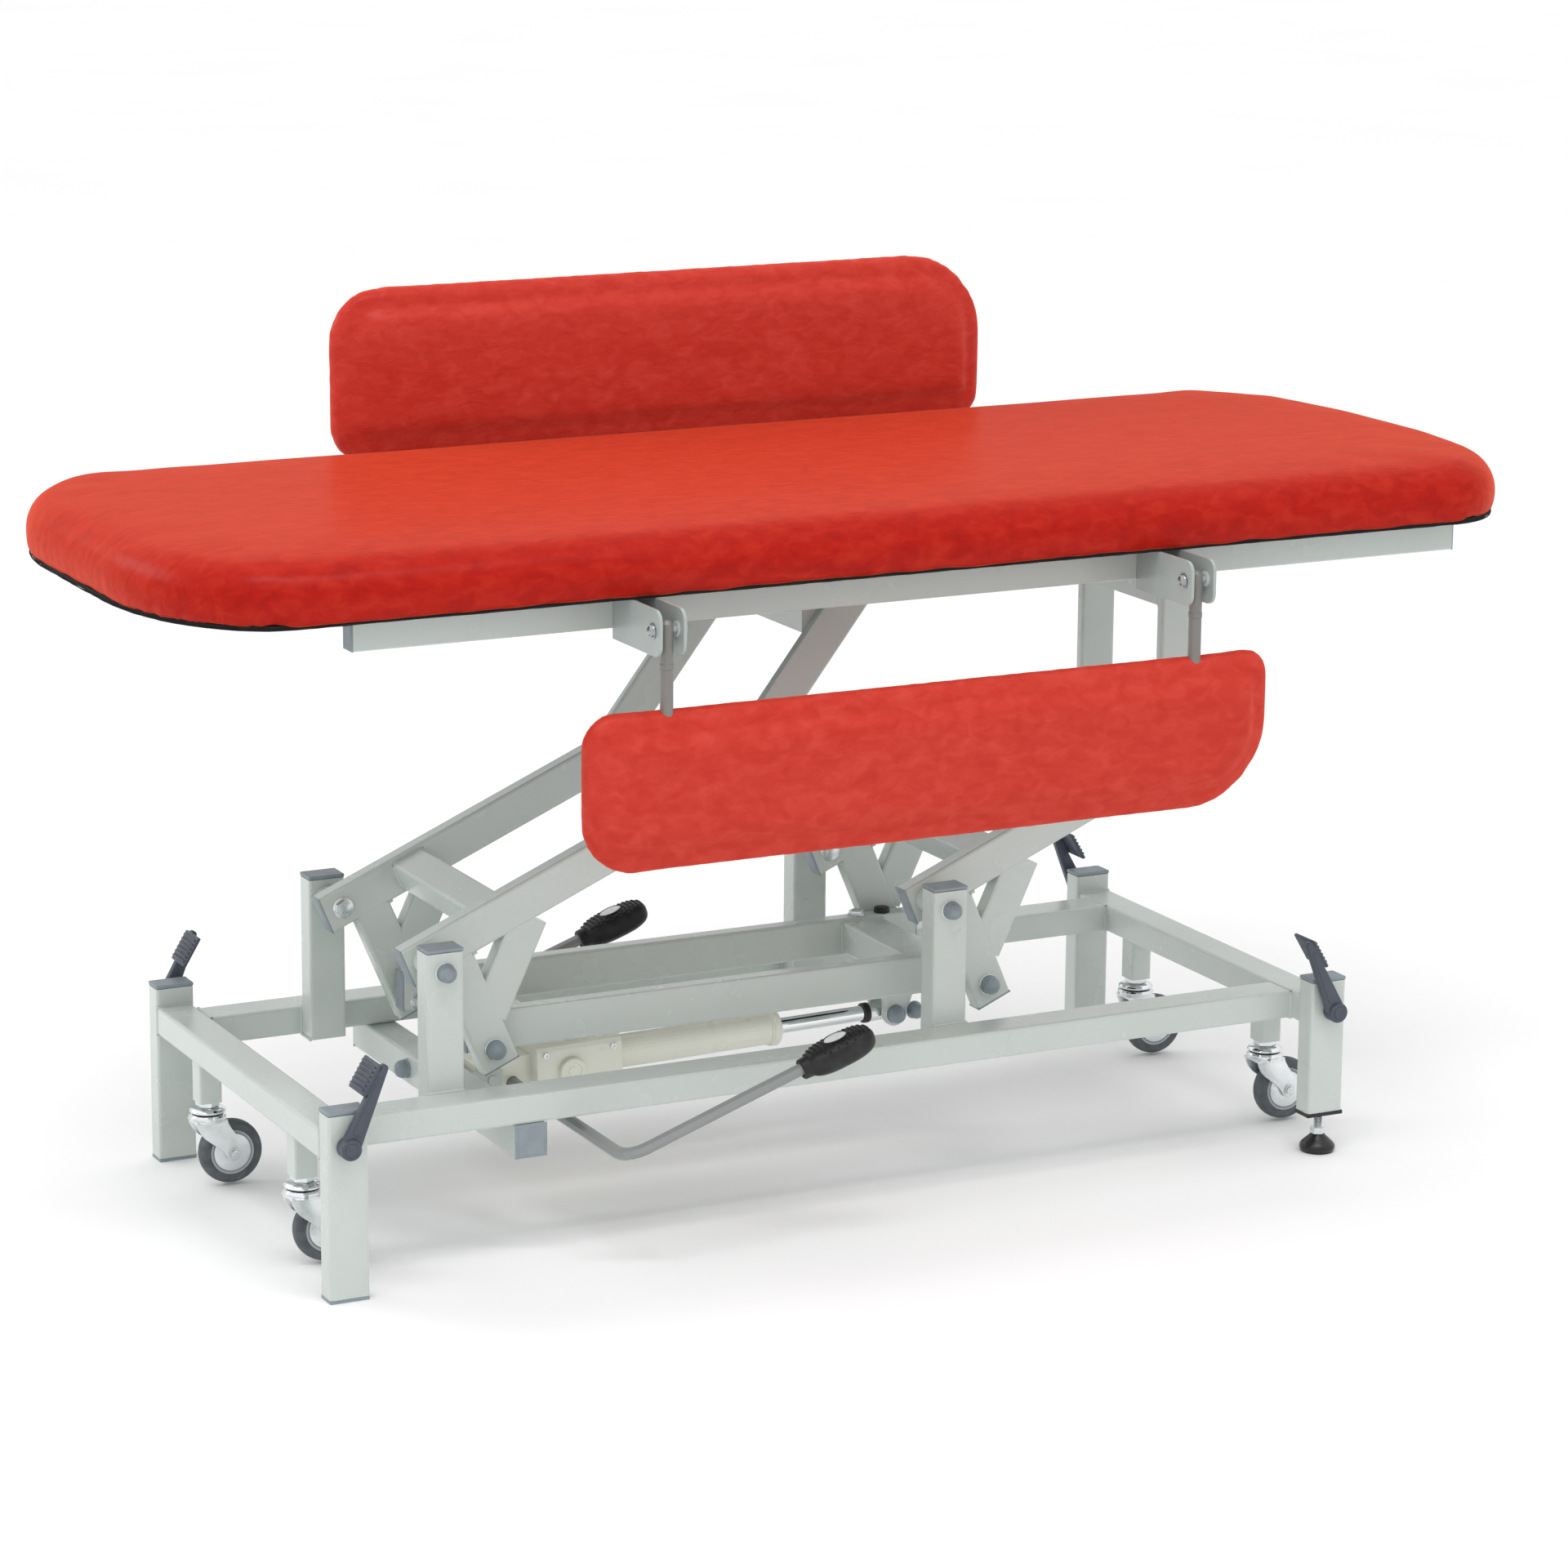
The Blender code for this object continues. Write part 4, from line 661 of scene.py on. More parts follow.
def build_fixings():
    """The bolts and caps of the lifting linkage, and the plugs in the ends of its tubes."""
    middle_y = sum(ARM_Y) / 2
    for end, pivot_x in zip(("left", "right"), ARM_PIVOTS_X):
        knee = along_arm(pivot_x, ARM_LENGTH)
        pin = (pivot_x + CRANK[0], ARM_PIVOT_Z + CRANK[1])
        arms = f"{end}_arms"
        for side, sy in SIDES.items():
            tag = f"{side}_{end}"
            nut_cap((pivot_x, sy * UPRIGHT_HALF, ARM_PIVOT_Z), sy, "base", f"upright_nut_cap_{tag}",
                    radius=0.0112, height=0.017)
            shaft = lathe(mm(0, 93, 5.9, 93, 5.9, 0, 0, 0), 20)
            add(f"pivot_shaft_{tag}", shaft, ZINC, "base",
                at((pivot_x, sy * 0.1185, ARM_PIVOT_Z), facing(sy)), replaces=[f"pivot_bolt_{tag}"])
            place = (pivot_x, sy * 0.1222, ARM_PIVOT_Z)
            bolt_head(place, -sy, "base", f"pivot_bolt_head_{tag}", height=0.0078)
            nut_cap((pin[0], sy * 0.148, pin[1]), sy, "link", f"crank_nut_cap_{tag}")
            bolt_head((pin[0], sy * 0.0908, pin[1]), -sy, "link", f"crank_bolt_head_{tag}", height=0.0086)
            y, way = (0.165, sy) if end == "left" else (0.0935, -sy)
            bolt_head((knee[0], sy * y, knee[1]), way, arms, f"knee_bolt_head_{tag}")
            size = (ARM_Y[1] - ARM_Y[0] + 0.0006, ARM_WIDTH + 0.0006)
            low = along_arm(pivot_x, -ARM_END)
            high = along_arm(pivot_x, ARM_LENGTH + ARM_END)
            back = (-ARM_WAY[0], -ARM_WAY[1])
            end_plate(f"arm_low_cap_{tag}", (low[0], sy * middle_y, low[1]), back, size, arms)
            end_plate(f"arm_high_cap_{tag}", (high[0], sy * middle_y, high[1]), ARM_WAY, size, arms)
            foot = (pin[0] - ARM_END * LEG_WAY[0], pin[1] - ARM_END * LEG_WAY[1])
            down = (-LEG_WAY[0], -LEG_WAY[1])
            end_plate(f"crank_cap_{tag}", (foot[0], sy * middle_y, foot[1]), down, size, arms)
    for side, sy in SIDES.items():
        low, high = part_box("link_frame")
        for end, x, way in (("left", low.x, -1), ("right", high.x, 1)):
            end_plate(f"link_cap_{side}_{end}", (x, sy * LINK_Y, LINK_Z), (way, 0), (0.0254, 0.0504), "link")
        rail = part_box("top_frame")
        for end, x, way in (("left", rail[0].x, -1), ("right", rail[1].x, 1)):
            place = (x, sy * TOP_RAIL_Y, TOP_RAIL_Z)
            end_plate(f"top_rail_cap_{side}_{end}", place, (way, 0), (0.0284, 0.0444), "top")
        nut_cap((ROD_END.x, sy * 0.022, ROD_END.z), sy, "link", f"ram_nut_cap_{side}")
        lug = (ROD_END.x + 0.028, sy * 0.022, ROD_END.z + 0.002)
        nut_cap(lug, sy, "link", f"ram_lug_nut_cap_{side}", radius=0.0105)
        tube_x = (LEFT + 0.262, LEFT + 0.304)
        tube_z = 0.1504
        plug = block((0.0424, 0.0022, 0.0424), 0.0009)
        panel = block((0.034, 0.0008, 0.034), 0.0003, 1)
        bmesh.ops.translate(panel, vec=(0, 0.0011, 0), verts=panel.verts)
        mirror = Matrix.Diagonal((1, sy, 1, 1))
        add(f"cross_tube_plug_{side}", merge(plug, panel), CAP, "base",
            Matrix.Translation((sum(tube_x) / 2, sy * 0.2619, tube_z)) @ mirror)
        place = (tube_x[0] - 0.0003, sy * 0.078, tube_z)
        nut_cap(place, -1, "base", f"cross_tube_nut_cap_{side}", "X", 0.0117, 0.0172)
    bolt_head((LEFT + 0.915, LINK_Y, LINK_TOP), 1, "link", "link_stop_screw", "Z", 0.017, 0.0066)
    cap = mm(0, 6.8, 8.6, 6.8, 10.3, 5.8, 10.7, 0, 0, 0)
    add("link_hole_plug", lathe(cap, 28), BLACK, "link", at((LEFT + 0.953, LINK_Y, LINK_TOP)))


def build_bracket_fixings():
    """The pivot bolts and washers of the side rails, and the collars on their tubes."""
    for side, sy in SIDES.items():
        pivot_y = sy * SIDE_PIVOT_Y
        body = f"{side}_side"
        down = -1 if side == "front" else 1
        for end, x in zip(("left", "right"), SIDE_TUBES_X):
            tag = f"{side}_{end}"
            reach = 0.0177
            dome = mm(0, 7.6, 3, 7, 5.8, 5.2, 7.4, 2.2, 7.8, 1.2, 9.8, 1, 9.8, 0, 0, 0)
            add(f"side_bolt_dome_{tag}", lathe(dome, 24), DULL_ZINC, "top",
                at((x - reach + 0.0002, pivot_y, SIDE_PIVOT_Z), facing(-1, "X")))
            place = (x + reach - 0.0004, pivot_y, SIDE_PIVOT_Z)
            bolt_head(place, 1, "top", f"side_bolt_nut_{tag}", "X", 0.0142, 0.006)
            for way in (-1, 1):
                washer = mm(4.5, 1.2, 9.5, 1.2, 9.8, 0, 4.5, 0)
                add(f"side_washer_{tag}_{'in' if way < 0 else 'out'}", lathe(washer, 24), WHITE, "top",
                    at((x + way * 0.0121, pivot_y, SIDE_PIVOT_Z), facing(way, "X")))
            band = mm(7.9, 0, 8.6, 0.6, 8.6, 6.4, 7.9, 7)
            add(f"tube_band_{tag}", lathe(band, 28), GREY_PAINT, body,
                at((x, pivot_y, SIDE_PIVOT_Z + down * 0.04), facing(down, "Z")))


# ---------------------------------------------------------------- welds

BEAD = 0.0021


def bead(points, closed=False):
    """A weld fillet: a slightly uneven bead along a joint, sampled every 3 mm."""
    return tube(evenly(points, 0.003, closed), BEAD, 8, closed, 0.3)


def rectangle(centre, u, v):
    """Four corners round a centre, half a size along each of two directions."""
    centre, u, v = Vector(centre), Vector(u), Vector(v)
    return [centre + u + v, centre - u + v, centre - u - v, centre + u - v]


def loop(place, u, v):
    """A closed bead round a rectangle."""
    return bead(rectangle(place, u, v), True)


def build_welds():
    """The fillets where the tubes of the base, the arms, the link and the top meet."""
    base, arms, link, top = [], {"left": [], "right": []}, [], []
    for sx, sy in CORNERS.values():
        up = (0, 0, 0.018)
        leg_x = LEFT + 0.024 if sx < 0 else RIGHT - 0.024
        base.append(loop((leg_x, sy * (HALF_WIDTH - 0.0312), BASE_RAIL_Z), (0.0232, 0, 0), up))
        joint_x = LEFT + 0.0482 if sx < 0 else RIGHT - 0.0482
        base.append(loop((joint_x, sy * 0.2355, BASE_RAIL_Z), (0, 0.025, 0), up))
        pivot_x = ARM_PIVOTS_X[0] if sx < 0 else ARM_PIVOTS_X[1]
        for way in (-1, 1):
            x = pivot_x + way * 0.0243
            base.append(bead([(x, sy * 0.2096, 0.1725), (x, sy * 0.2096, 0.2083)]))
        base.append(bead([(pivot_x + way * 0.0236, sy * 0.2102, 0.2086) for way in (-1, 1)]))
        base.append(bead([(pivot_x - 0.0244, sy * y, 0.1716 + 0.0005) for y in (0.178, 0.2096)]))
    add("base_weld_beads", merge(*base), PAINT, "base", smooth=80)
    for end, pivot_x in zip(("left", "right"), ARM_PIVOTS_X):
        tie = along_arm(pivot_x, TIE_AT, -0.001)
        pin = Vector((pivot_x + CRANK[0], 0, ARM_PIVOT_Z + CRANK[1]))
        for sy in (-1, 1):
            arms[end].append(loop((tie[0], sy * (ARM_Y[0] - 0.0003), tie[1]), ALONG * 0.0222, RISE * 0.0187))
            for y in (ARM_Y[0] + 0.0007, ARM_Y[1] - 0.0007):
                arms[end] += [bead(run) for run in arm_meeting(pivot_x, pin, sy * y)]
        add(f"{end}_arm_weld_beads", merge(*arms[end]), PAINT, f"{end}_arms", smooth=80)
    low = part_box("link_frame")[0].x
    for start, half in ((low + 0.071, 0.019), (ROD_END.x + 0.01, 0.03)):
        for sy in (-1, 1):
            link.append(loop((start, sy * 0.0893, LINK_Z), (half, 0, 0), (0, 0, 0.0205)))
    add("link_weld_beads", merge(*link), PAINT, "link", smooth=80)
    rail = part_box("top_frame")
    for x in (rail[0].x + 0.085, rail[1].x - 0.085):
        for sy in (-1, 1):
            top.append(loop((x, sy * 0.2743, TOP_RAIL_Z), (0.025, 0, 0), (0, 0, 0.0168)))
    right_knee = along_arm(ARM_PIVOTS_X[1], ARM_LENGTH)
    left_knee = along_arm(ARM_PIVOTS_X[0], ARM_LENGTH)
    reach = (TOP_RAIL_LOW - left_knee[1]) / math.tan(STRUT_ANGLE)
    half = 0.025 / math.sin(STRUT_ANGLE)
    for sy in (-1, 1):
        top.append(loop((right_knee[0], sy * 0.1015, TOP_RAIL_LOW), (0.025, 0, 0), (0, 0.0072, 0)))
        top.append(loop((right_knee[0] - 0.001, sy * 0.0938, 0.717), (0.021, 0, 0), (0, 0, 0.02)))
    for sy in (-1, 1):
        top.append(loop((left_knee[0] + reach, sy * 0.157, TOP_RAIL_LOW), (half, 0, 0), (0, 0.0072, 0)))
    add("top_weld_beads", merge(*top), PAINT, "top", smooth=80)


def arm_meeting(pivot_x, pin, y):
    """The two lines where a crank leg's edges run up to the underside of its arm."""
    runs = []
    across = Vector((LEG.z, 0, -LEG.x))
    pivot = Vector((pivot_x, 0, ARM_PIVOT_Z))
    outward = Vector((0, y, 0))
    for way in (-1, 1):
        edge = pin + across * way * 0.0246
        need = (-0.0252 - (edge - pivot).dot(RISE)) / LEG.dot(RISE)
        top = edge + LEG * need
        runs.append([top + ALONG * 0.004 * way + outward, top - ALONG * 0.002 * way + outward])
    return runs


# ---------------------------------------------------------------- castors, levers and foot

def mirrored(half):
    """A closed profile from its upper half."""
    return half + [(radius, -height) for radius, height in reversed(half)] + half[:1]


def build_wheel(corner):
    """A grooved tyre on its rim, with a thread guard on each side."""
    low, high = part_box(f"castor_wheel_{corner}")
    centre = (low + high) / 2
    body = f"wheel_{corner}"
    radius = (high.z - low.z) / 2
    half = mm(29, 8.8, 30.2, 10.3, 31.8, 10.8, 33, 10.4, 33.7, 10.8, 36.2, 10.8)
    half += [(0.0385, 0.01), (0.0402, 0.008), (radius - 0.0004, 0.005), (radius, 0.0022)]
    turn = at(centre, TURN_Y)
    add(f"tyre_{corner}", lathe(mirrored(half), 56), TYRE, body, turn, 35, [f"castor_wheel_{corner}"])
    half = mm(
        4.6, 12.2, 10, 12.2, 11.8, 10, 15, 8.8, 15.8, 9.2, 23.2, 9, 24, 7.8, 25.2, 7.8, 26.2, 9.8, 28.8, 10,
        29.4, 8.6)
    add(f"wheel_rim_{corner}", lathe(mirrored(half), 48), RIM, body, turn, 35)
    for face, way in SIDES.items():
        guard = mm(4.8, 2.4, 11, 2.4, 16, 1.9, 22.5, 0.7, 24.5, 0.1, 24.5, -0.6, 4.8, -0.6)
        matrix = at(centre + Vector((0, way * 0.0094, 0)), facing(way))
        add(f"thread_guard_{corner}_{face}", lathe(guard, 40), SHEET_ZINC, body, matrix, 35)


def arc(centre, radius, first, last, steps):
    """Points round an arc from one angle to another, in degrees."""
    made = []
    for step in range(steps + 1):
        angle = math.radians(first + (last - first) * step / steps)
        made.append((centre[0] + radius * math.cos(angle), centre[1] + radius * math.sin(angle)))
    return made


def build_fork(corner):
    """A pressed fork under a double ball race, with the nuts of its axle."""
    low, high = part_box(f"castor_fork_{corner}")
    y = (low.y + high.y) / 2
    x = low.x + 0.0245
    body = f"fork_{corner}"
    turn = at((x, y, 0))
    upper = mm(
        0, 108, 12, 108, 14.5, 107.6, 19.2, 106.6, 22.2, 105, 23.6, 103, 23.4, 101.2, 21.5, 100.2, 20, 99.9,
        0, 99.9)
    middle = mm(0, 100.1, 20.8, 100.1, 20.8, 98.4, 0, 98.4)
    lower = mm(
        0, 99, 20.5, 99, 23.2, 98, 24.5, 96.2, 24.3, 94.4, 22.2, 93.2, 22.4, 92.4, 23.8, 91.5, 23.6, 89.6,
        21.4, 88, 19, 87.2, 0, 87.2)
    races = merge(lathe(upper, 40), lathe(lower, 40))
    add(f"ball_race_{corner}", races, CHROME, body, turn, 30, [f"castor_fork_{corner}"])
    add(f"race_seal_{corner}", lathe(middle, 32), BLACK, body, turn)
    axle = (0.029, 0.0445)
    outline = mm(-20.5, 91.2, 20.5, 91.2, 22.2, 85, 26.2, 78, 31, 71.2, 34.5, 64)
    outline += [(0.0378, 0.056)] + arc(axle, 0.0103, 25, -160, 12)
    outline += mm(15.2, 47.5, 9, 54, 0, 60.5, -8.5, 67.2, -15, 74.5, -19, 83)
    for face, way in SIDES.items():
        cheek = slab(outline, 0.003, 0.0008)
        rib = [(px * 0.8 + 0.002, (pz - 0.066) * 0.74 + 0.069) for px, pz in outline]
        pressed = slab(rib, 0.0012, 0.0005)
        bmesh.ops.translate(pressed, vec=(0, way * 0.0014, 0), verts=pressed.verts)
        place = at((x, y + way * 0.016, 0))
        add(f"fork_cheek_{corner}_{face}", merge(cheek, pressed), SHEET_ZINC, body, place, 30)
        end = at((x + axle[0], y + way * 0.0182, axle[1]), facing(way))
        washer = lathe(mm(0, 0.9, 8.2, 0.9, 8.5, 0, 0, 0), 24)
        stub = lathe(mm(0, 4.8, 2.2, 4.8, 3, 4.2, 3, 0, 0, 0), 16)
        nut = merge(hexagon(0.0112, 0.0038, 0.0006), washer, stub)
        add(f"axle_nut_{corner}_{face}", nut, ZINC, body, end, 30)
    crown = slab(mm(-20.5, -18, 20.5, -18, 20.5, 18, -20.5, 18), 0.003, 0.0008)
    add(f"fork_crown_{corner}", crown, SHEET_ZINC, body, at((x, y, 0.0885), TURN_Y), 30)
    nut = merge(hexagon(0.0262, 0.0062, 0.001), lathe(mm(0, 7.2, 10.5, 7.2, 10.5, 0, 0, 0), 28))
    add(f"stem_nut_{corner}", nut, ZINC, f"post_{corner}", at((x, y, 0.1082)), 30)


def build_lever(corner, sx, sy):
    """A foot lever with a waisted hub, a channelled arm and a ribbed tread over the leg's cap."""
    hub_x, hub_z = 0.022, 0.194
    lean = math.radians(25.0)
    leaning = Matrix.Rotation(lean, 4, "Y")
    hub = mm(
        0, -22.2, 7, -22.2, 7.8, -21.6, 8.2, -20.5, 11.2, -20.5, 12.6, -19.8, 13.2, -18, 13.2, -4, 12, -1.2,
        0, -0.5)
    flip = Matrix.Rotation(-math.pi / 2, 4, "X")
    shapes = [placed(lathe(hub, 40), at((hub_x, 0, hub_z), flip))]
    outline = arc((0, 0), 0.0124, 180, 360, 14) + arc((0.0005, 0.1035), 0.0046, 0, 180, 8)
    arm = slab(outline, 0.01, 0.0014)
    shapes.append(placed(arm, at((hub_x, -0.012, hub_z), leaning)))
    spine = mm(-6.2, 18, 6.2, 18, 2.6, 92, -2.6, 92)
    shapes.append(placed(slab(spine, 0.0012, 0.0005), at((hub_x, -0.0172, hub_z), leaning)))
    tread_lean = lean + math.radians(6.0)
    reach, offset = 0.085, -0.0085
    centre = (hub_x + reach * math.sin(lean) + offset * math.cos(lean), 0,
              hub_z + reach * math.cos(lean) - offset * math.sin(lean))
    tread = at(centre, Matrix.Rotation(tread_lean, 4, "Y"))
    plate = block((0.0046, 0.0465, 0.042), 0.0016, 3)
    shapes.append(placed(plate, tread @ at((0, 0.00675, 0))))
    for index in range(6):
        rise = -0.015 + index * 0.006
        rib = block((0.003, 0.04, 0.0026), 0.001, 2)
        shapes.append(placed(rib, tread @ at((-0.0032, 0.007, rise))))
    gusset = mm(-1, -18, 7, -18, 4.4, 15, -1, 15)
    shapes.append(placed(slab(gusset, 0.01, 0.001), tread @ at((0.002, -0.011, 0))))
    corner_x = LEFT if sx < 0 else RIGHT
    matrix = Matrix.Translation((corner_x, sy * HALF_WIDTH, 0)) @ Matrix.Diagonal((-sx, -sy, 1, 1))
    add(f"foot_lever_{corner}", merge(*shapes), LEVER, f"lever_{corner}", matrix, 35,
        [f"castor_lever_{corner}"])


def thread(radius, pitch, z, turns_per_step=20):
    """A screw thread: a helix of V ridges on a rod, from z[0] up to z[1]."""
    bm = bmesh.new()
    rows = int((z[1] - z[0]) / pitch * turns_per_step)
    crest, root = [], []
    for row in range(rows + 1):
        angle = 2 * math.pi * row / turns_per_step
        height = z[0] + pitch * row / turns_per_step
        crest.append(bm.verts.new((radius * math.cos(angle), radius * math.sin(angle), height)))
        low = radius - pitch * 0.45
        root.append(bm.verts.new((low * math.cos(angle), low * math.sin(angle), height + pitch / 2)))
    for row in range(rows):
        bm.faces.new((crest[row], crest[row + 1], root[row + 1], root[row]))
        if row + turns_per_step + 1 <= rows:
            above = row + turns_per_step
            bm.faces.new((root[row], root[row + 1], crest[above + 1], crest[above]))
    return bm


def build_foot():
    """The levelling foot: a moulded pad, a threaded stem and a lock nut."""
    low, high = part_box("levelling_foot")
    x, y = (low.x + high.x) / 2, (low.y + high.y) / 2
    place = at((x, y, 0))
    pad = mm(
        0, 24.5, 7.2, 24.5, 8.6, 23.6, 10.4, 21.2, 16, 16.2, 20.6, 11.8, 22.6, 9.2, 23.1, 7, 23.1, 4.6,
        22.2, 3.5, 21.6, 0.8, 20.5, 0, 0, 0)
    add("foot_pad", lathe(pad, 48), GLOSS_BLACK, "foot", place, 35, ["levelling_foot"])
    core = lathe(mm(0, 72, 5, 72, 5, 22, 0, 22), 20)
    add("foot_stem", merge(core, thread(0.0057, 0.0015, (0.024, 0.07))), ZINC, "foot", place, 30)
    nut = merge(hexagon(0.0172, 0.008, 0.001), lathe(mm(0, 8.5, 7.2, 8.5, 7.8, 0, 0, 0), 28))
    add("foot_lock_nut", nut, ZINC, "foot", at((x, y, 0.0242)), 30)


def build_castors():
    """The four castors with their foot levers, and the levelling foot."""
    for corner, (sx, sy) in CORNERS.items():
        build_wheel(corner)
        build_fork(corner)
        build_lever(corner, sx, sy)
    build_foot()


# ---------------------------------------------------------------- pump and pedals

def build_pump():
    """Castings, screws and seals on the pump, drawn with the ram along X and the pivot at the origin."""
    run = ROD_END - PUMP_PIVOT
    place = Matrix.Translation(PUMP_PIVOT) @ Matrix.Rotation(-math.atan2(run.z, run.x), 4, "Y")
    ring = mm(12, 0, 23.6, 0, 24.2, 1.2, 24.2, 8.8, 23.2, 10, 12, 10)
    cream = [placed(lathe(ring, 40), at((0.4035, 0, 0), TURN_X))]
    step = mm(20, 0, 25.8, 0, 26.2, 1, 26.2, 6, 24, 8.5, 20, 8.5)
    cream.append(placed(lathe(step, 40), at((0.1745, 0, 0), TURN_X)))
    for sy in (-1, 1):
        boss = mm(0, 7.5, 6, 7.5, 6.8, 6.6, 10.5, 6.6, 11.5, 7.8, 16.5, 7.8, 17.8, 6.6, 18.2, 0, 0, 0)
        cream.append(placed(lathe(boss, 36), at((0.105, sy * 0.0448, 0.0), facing(sy))))
    cream.append(placed(block((0.046, 0.04, 0.006), 0.0018, 3), at((0.118, 0, 0.0375))))
    cream.append(placed(block((0.03, 0.06, 0.004), 0.0012, 2), at((0.158, 0, 0.0368))))
    add("pump_castings", merge(*cream), PUMP_PAINT, "pump", place, 35)
    screws = []
    for x in (0.0995, 0.1365):
        for y in (-0.0145, 0.0145):
            screws.append(placed(socket_screw(0.0038, 0.0034), at((x, y, 0.0404))))
    for x in (0.07, 0.163):
        for z in (-0.038, 0.024):
            for sy in (-1, 1):
                screws.append(placed(socket_screw(0.0042, 0.003), at((x, sy * 0.0448, z), facing(sy))))
    bleed = merge(hexagon(0.009, 0.005), lathe(mm(0, 8.5, 2.2, 8.5, 2.8, 7.5, 2.8, 0, 0, 0), 20))
    screws.append(placed(bleed, at((0.118, -0.03, 0.0355))))
    add("pump_screws", merge(*screws), ZINC, "pump", place, 30)
    seal = mm(10.4, 0, 15, 0, 15.2, 1.6, 13.8, 3, 11.6, 4.4, 10.4, 4.4)
    breather = mm(0, 10.5, 5.8, 10.5, 6.6, 9.8, 6.6, 3, 8.2, 2.4, 8.2, 0, 0, 0)
    black = merge(placed(lathe(seal, 32), at((0.4132, 0, 0), TURN_X)),
                  placed(lathe(breather, 28), at((0.158, 0.018, 0.0385))))
    add("pump_seal_and_breather", black, BLACK, "pump", place, 35)
    boot = mm(10.1, 0, 12.8, 0, 13.2, 1, 13.2, 7.8, 12.2, 9, 10.1, 9)
    add("ram_end_ring", lathe(boot, 32), BLACK, "ram",
        place @ at((run.length - 0.0375, 0, 0), TURN_X), 35)


def socket_screw(radius, height):
    """A socket cap screw with its hexagon hole."""
    wall = [(radius * 0.52, height), (radius * 0.86, height), (radius, height * 0.8), (radius, 0), (0, 0)]
    well = [(radius * 0.52, height), (radius * 0.52, height * 0.35), (0, height * 0.3)]
    return merge(lathe(wall, 20), lathe(well, 6))


def grip_point(u, v):
    """A point on a superellipsoid: u runs round the rod's axis and v along it."""
    def power(value, exponent):
        return math.copysign(abs(value) ** exponent, value)
    long, wide, up, down = GRIP_SIZE
    lengthwise, round_end, crosswise = GRIP_POWERS
    ring = power(math.cos(v), round_end)
    rise = math.sin(u)
    return Vector((long * power(math.sin(v), lengthwise),
                   wide * ring * power(math.cos(u), crosswise),
                   (up if rise > 0 else down) * ring * power(rise, crosswise)))


def build_pedal_grips():
    """Rubber foot grips with a studded top, a moulded socket for the rod and an oval disc."""
    rings, around = 60, 72
    for name, y in (("front", -0.3645), ("rear", 0.286)):
        place = at((PEDAL_AXIS[0], y, PEDAL_AXIS[1]), Matrix.Rotation(-PEDAL_ANGLE, 4, "Y"))
        rows = []
        for step in range(rings + 1):
            v = -math.pi / 2 + math.pi * step / rings
            row = [grip_point(2 * math.pi * k / around, v) for k in range(around)]
            rows.append([point + Vector((GRIP_AT, 0, 0)) for point in row])
        bm = skin(rows, capped=False)
        bmesh.ops.remove_doubles(bm, verts=bm.verts, dist=1e-5)
        outward(bm)
        studs = []
        for row in range(15):
            for column in range(9):
                x = GRIP_AT - 0.042 + row * 0.006
                across = (column - 4) * 0.0046 + (0.0023 if row % 2 else 0.0)
                top = stud_height(x - GRIP_AT, across)
                in_disc = ((x - GRIP_AT) / 0.0175) ** 2 + (across / 0.0122) ** 2 < 1
                if top is None or in_disc:
                    continue
                stud = block((0.0034, 0.0034, 0.0026), 0.0009, 1)
                studs.append(placed(stud, at((x, across, top), Matrix.Rotation(math.pi / 4, 4, "Z"))))
        socket = mm(8.6, 0, 11.8, 0, 13, 1.2, 13.8, 14, 8.6, 14)
        collar = placed(lathe(socket, 32), at((GRIP_AT - 0.0545, 0, -0.001), TURN_X))
        grip = merge(bm, collar, *studs)
        add(f"pedal_grip_{name}", grip, BLACK, "pedals", place, 35, [f"pedal_pad_{name}"])
        rim = mm(0, 1.4, 8.8, 1.4, 10, 1, 10.6, 0, 0, 0)
        oval = Matrix.Translation((GRIP_AT, 0, 0.017)) @ Matrix.Diagonal((1.45, 1, 1, 1))
        add(f"grip_disc_{name}", lathe(rim, 40), WHITE, "pedals", place @ oval, 35)
        edge = mm(10.4, 0.6, 10.8, 1.3, 11.6, 1.3, 12.1, 0, 10.4, 0)
        add(f"grip_disc_rim_{name}", lathe(edge, 40), BLACK, "pedals", place @ oval, 35)


def stud_height(x, y):
    """The height of the grip's upper surface, or None near and beyond its edge."""
    long, wide, up, _ = GRIP_SIZE
    lengthwise, round_end, crosswise = GRIP_POWERS
    share_x = abs(x / long)
    if share_x > 0.9:
        return None
    v = math.asin(share_x ** (1 / lengthwise))
    ring = math.cos(v) ** round_end
    share_y = abs(y) / (wide * ring)
    if share_y > 0.86:
        return None
    u = math.acos(share_y ** (1 / crosswise))
    return up * ring * math.sin(u) ** crosswise


# ---------------------------------------------------------------- CAD nodes, camera and light

def dress_cad():
    """Gives every CAD node that still shows the procedural finish of its slot."""
    slots = {entry["node"]: entry["material_slot"] for entry in frame["record"]["subparts"]}
    special = {"ram_rod": CHROME, "foot_plate": GLOSS_BLACK, "pedal_lever": PEDAL_PAINT}
    for name, obj in frame["nodes"].items():
        finish = special.get(name) or FINISHES[slots[name]][0]
        if name.startswith("side_bracket"):
            finish = BRACKET_PAINT
        for slot in obj.material_slots:
            slot.material = finish
        if not obj.material_slots:
            obj.data.materials.append(finish)


def area_light(name, place, target, size, power):
    data = bpy.data.lights.new(name, "AREA")
    data.shape = "RECTANGLE"
    data.size, data.size_y = size
    data.energy = power
    obj = new_object(name, data)
    obj.location = place
    obj.rotation_euler = (Vector(target) - Vector(place)).to_track_quat("-Z", "Y").to_euler()


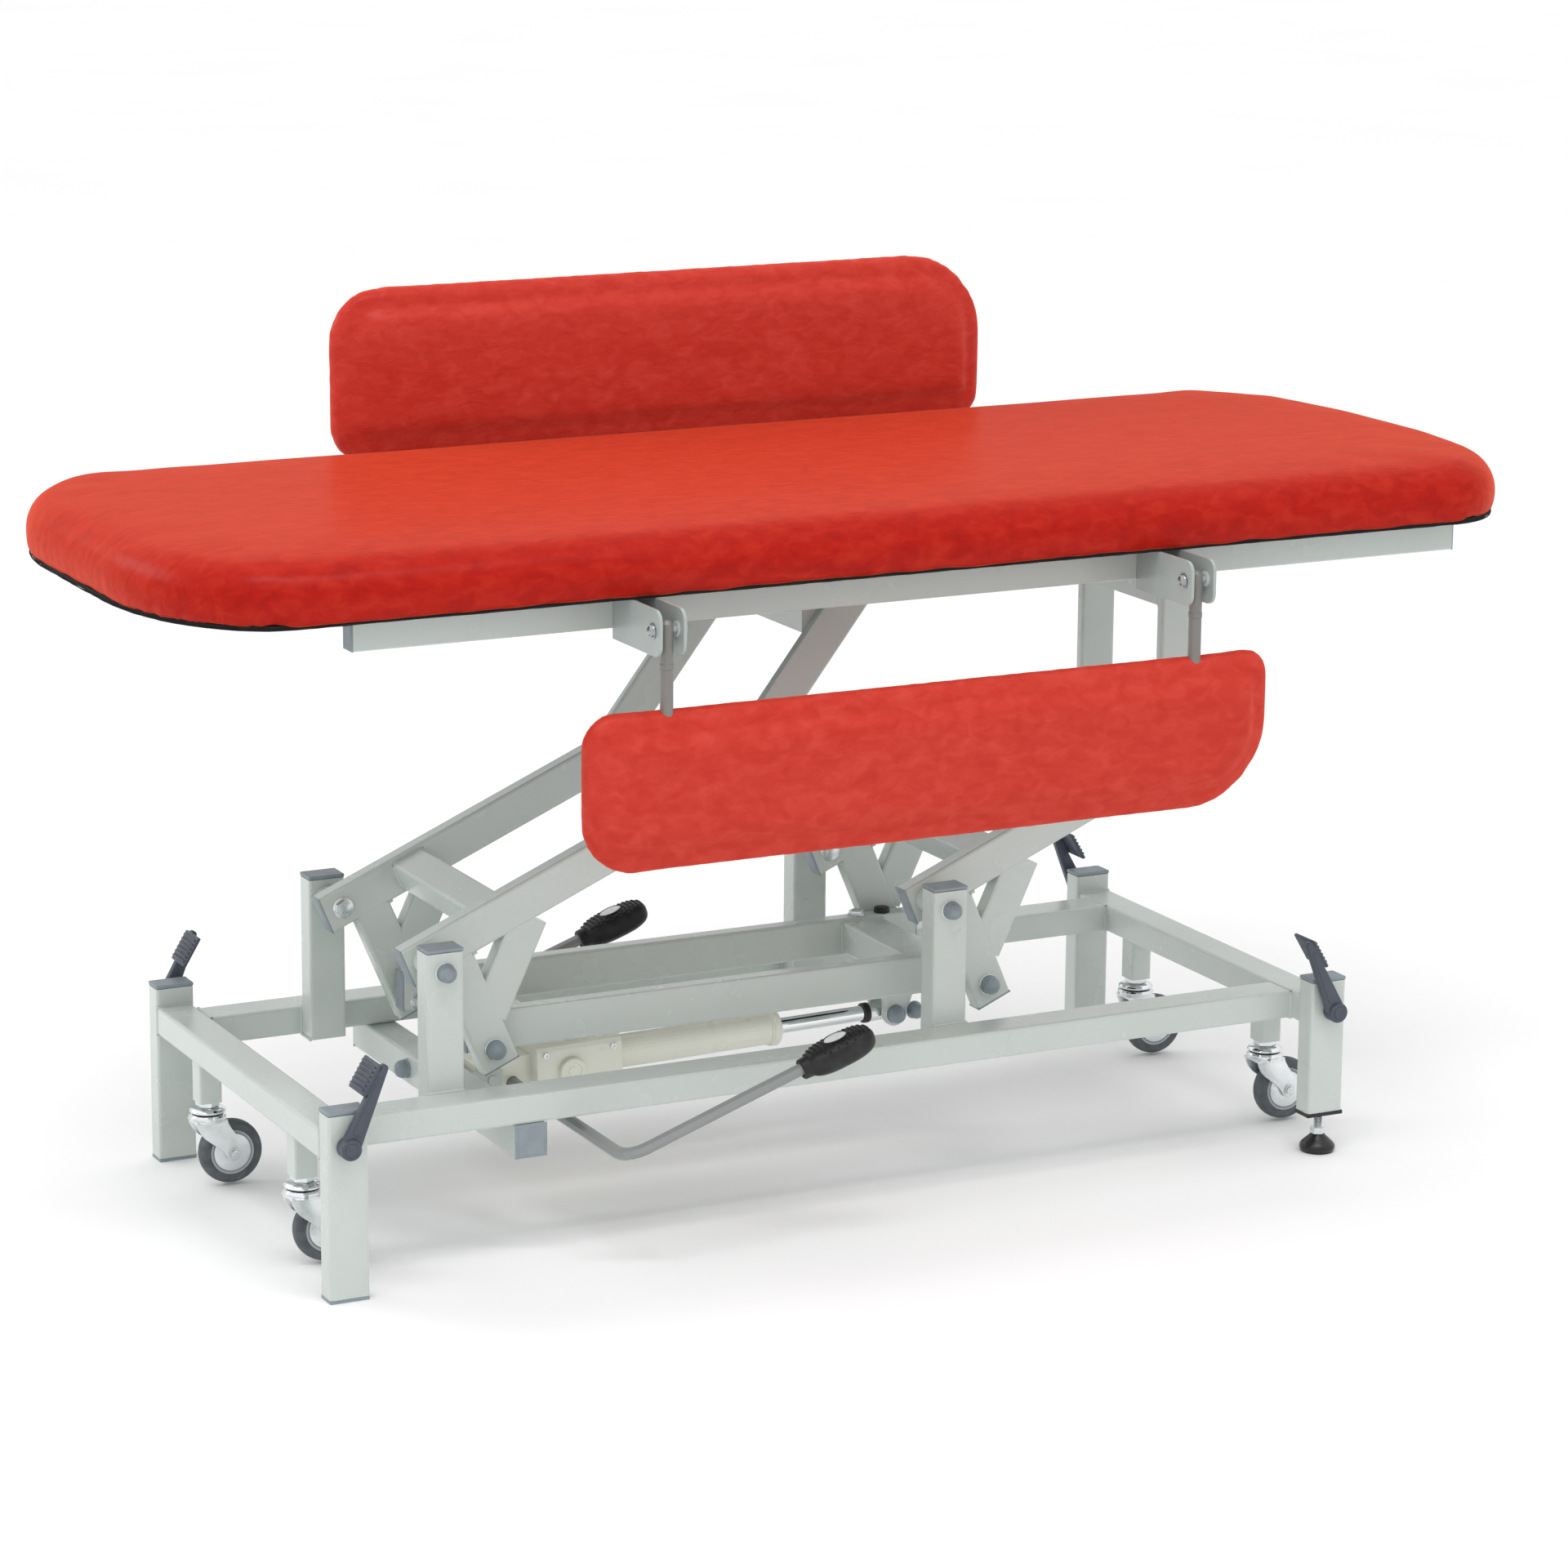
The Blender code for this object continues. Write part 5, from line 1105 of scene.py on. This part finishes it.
def build_world():
    """A soft sky, bright overhead and dimmer near the horizon, so that upright faces are in gentle shade."""
    world = bpy.data.worlds.new("studio")
    world.use_nodes = True
    tree = world.node_tree
    background = tree.nodes["Background"]
    background.inputs["Color"].default_value = (1.0, 1.0, 1.0, 1)
    coords = tree.nodes.new("ShaderNodeTexCoord")
    split = tree.nodes.new("ShaderNodeSeparateXYZ")
    rise = tree.nodes.new("ShaderNodeMapRange")
    for name, value in zip(("From Min", "From Max", "To Min", "To Max"), SKY):
        rise.inputs[name].default_value = value
    tree.links.new(coords.outputs["Generated"], split.inputs["Vector"])
    tree.links.new(split.outputs["Z"], rise.inputs["Value"])
    tree.links.new(rise.outputs["Result"], background.inputs["Strength"])
    bpy.context.scene.world = world


def build_studio():
    """A pale floor, the sky and three soft lights."""
    bm = bmesh.new()
    bmesh.ops.create_grid(bm, x_segments=4, y_segments=4, size=45)
    mesh = bpy.data.meshes.new("floor")
    bm.to_mesh(mesh)
    bm.free()
    floor = new_object("floor", mesh)
    finish = Finish("studio_floor", roughness=0.6, specular=0.0)
    finish.colour(finish.noise(1.3, 2.0), [(0.3, (0.95, 0.95, 0.955)), (0.7, (0.97, 0.97, 0.97))])
    mesh.materials.append(finish.material)
    build_world()
    area_light("key", (-0.7, -1.5, 3.6), (0, 0, 0.6), (3.0, 0.4), 34)
    area_light("front", (-2.2, -4.6, 1.0), (0, 0, 0.6), (2.6, 1.2), 4)
    area_light("back", (-2.8, 2.2, 2.3), (-0.4, 0, 0.8), (2.2, 1.0), 22)
    bpy.context.scene.view_settings.view_transform = "Standard"


def build_camera():
    """The camera solved from the photograph, with its shift for the framing."""
    data = bpy.data.cameras.new("camera")
    camera = new_object("camera", data)
    azimuth, elevation = -0.4335, 0.2275
    level = math.cos(elevation)
    aim = Vector((-math.sin(azimuth) * level, math.cos(azimuth) * level, -math.sin(elevation)))
    camera.location = (-2.7022, -5.3485, 1.9337)
    camera.rotation_mode = "QUATERNION"
    camera.rotation_quaternion = aim.to_track_quat("-Z", "Y")
    data.sensor_width = 36.0
    data.lens = 110.58
    data.shift_x = 0.10898
    data.shift_y = -0.02784
    bpy.context.scene.camera = camera


build_camera()
dress_cad()
build_mattress()
build_side_panels()
build_fixings()
build_bracket_fixings()
build_welds()
build_castors()
build_pump()
build_pedal_grips()
build_studio()
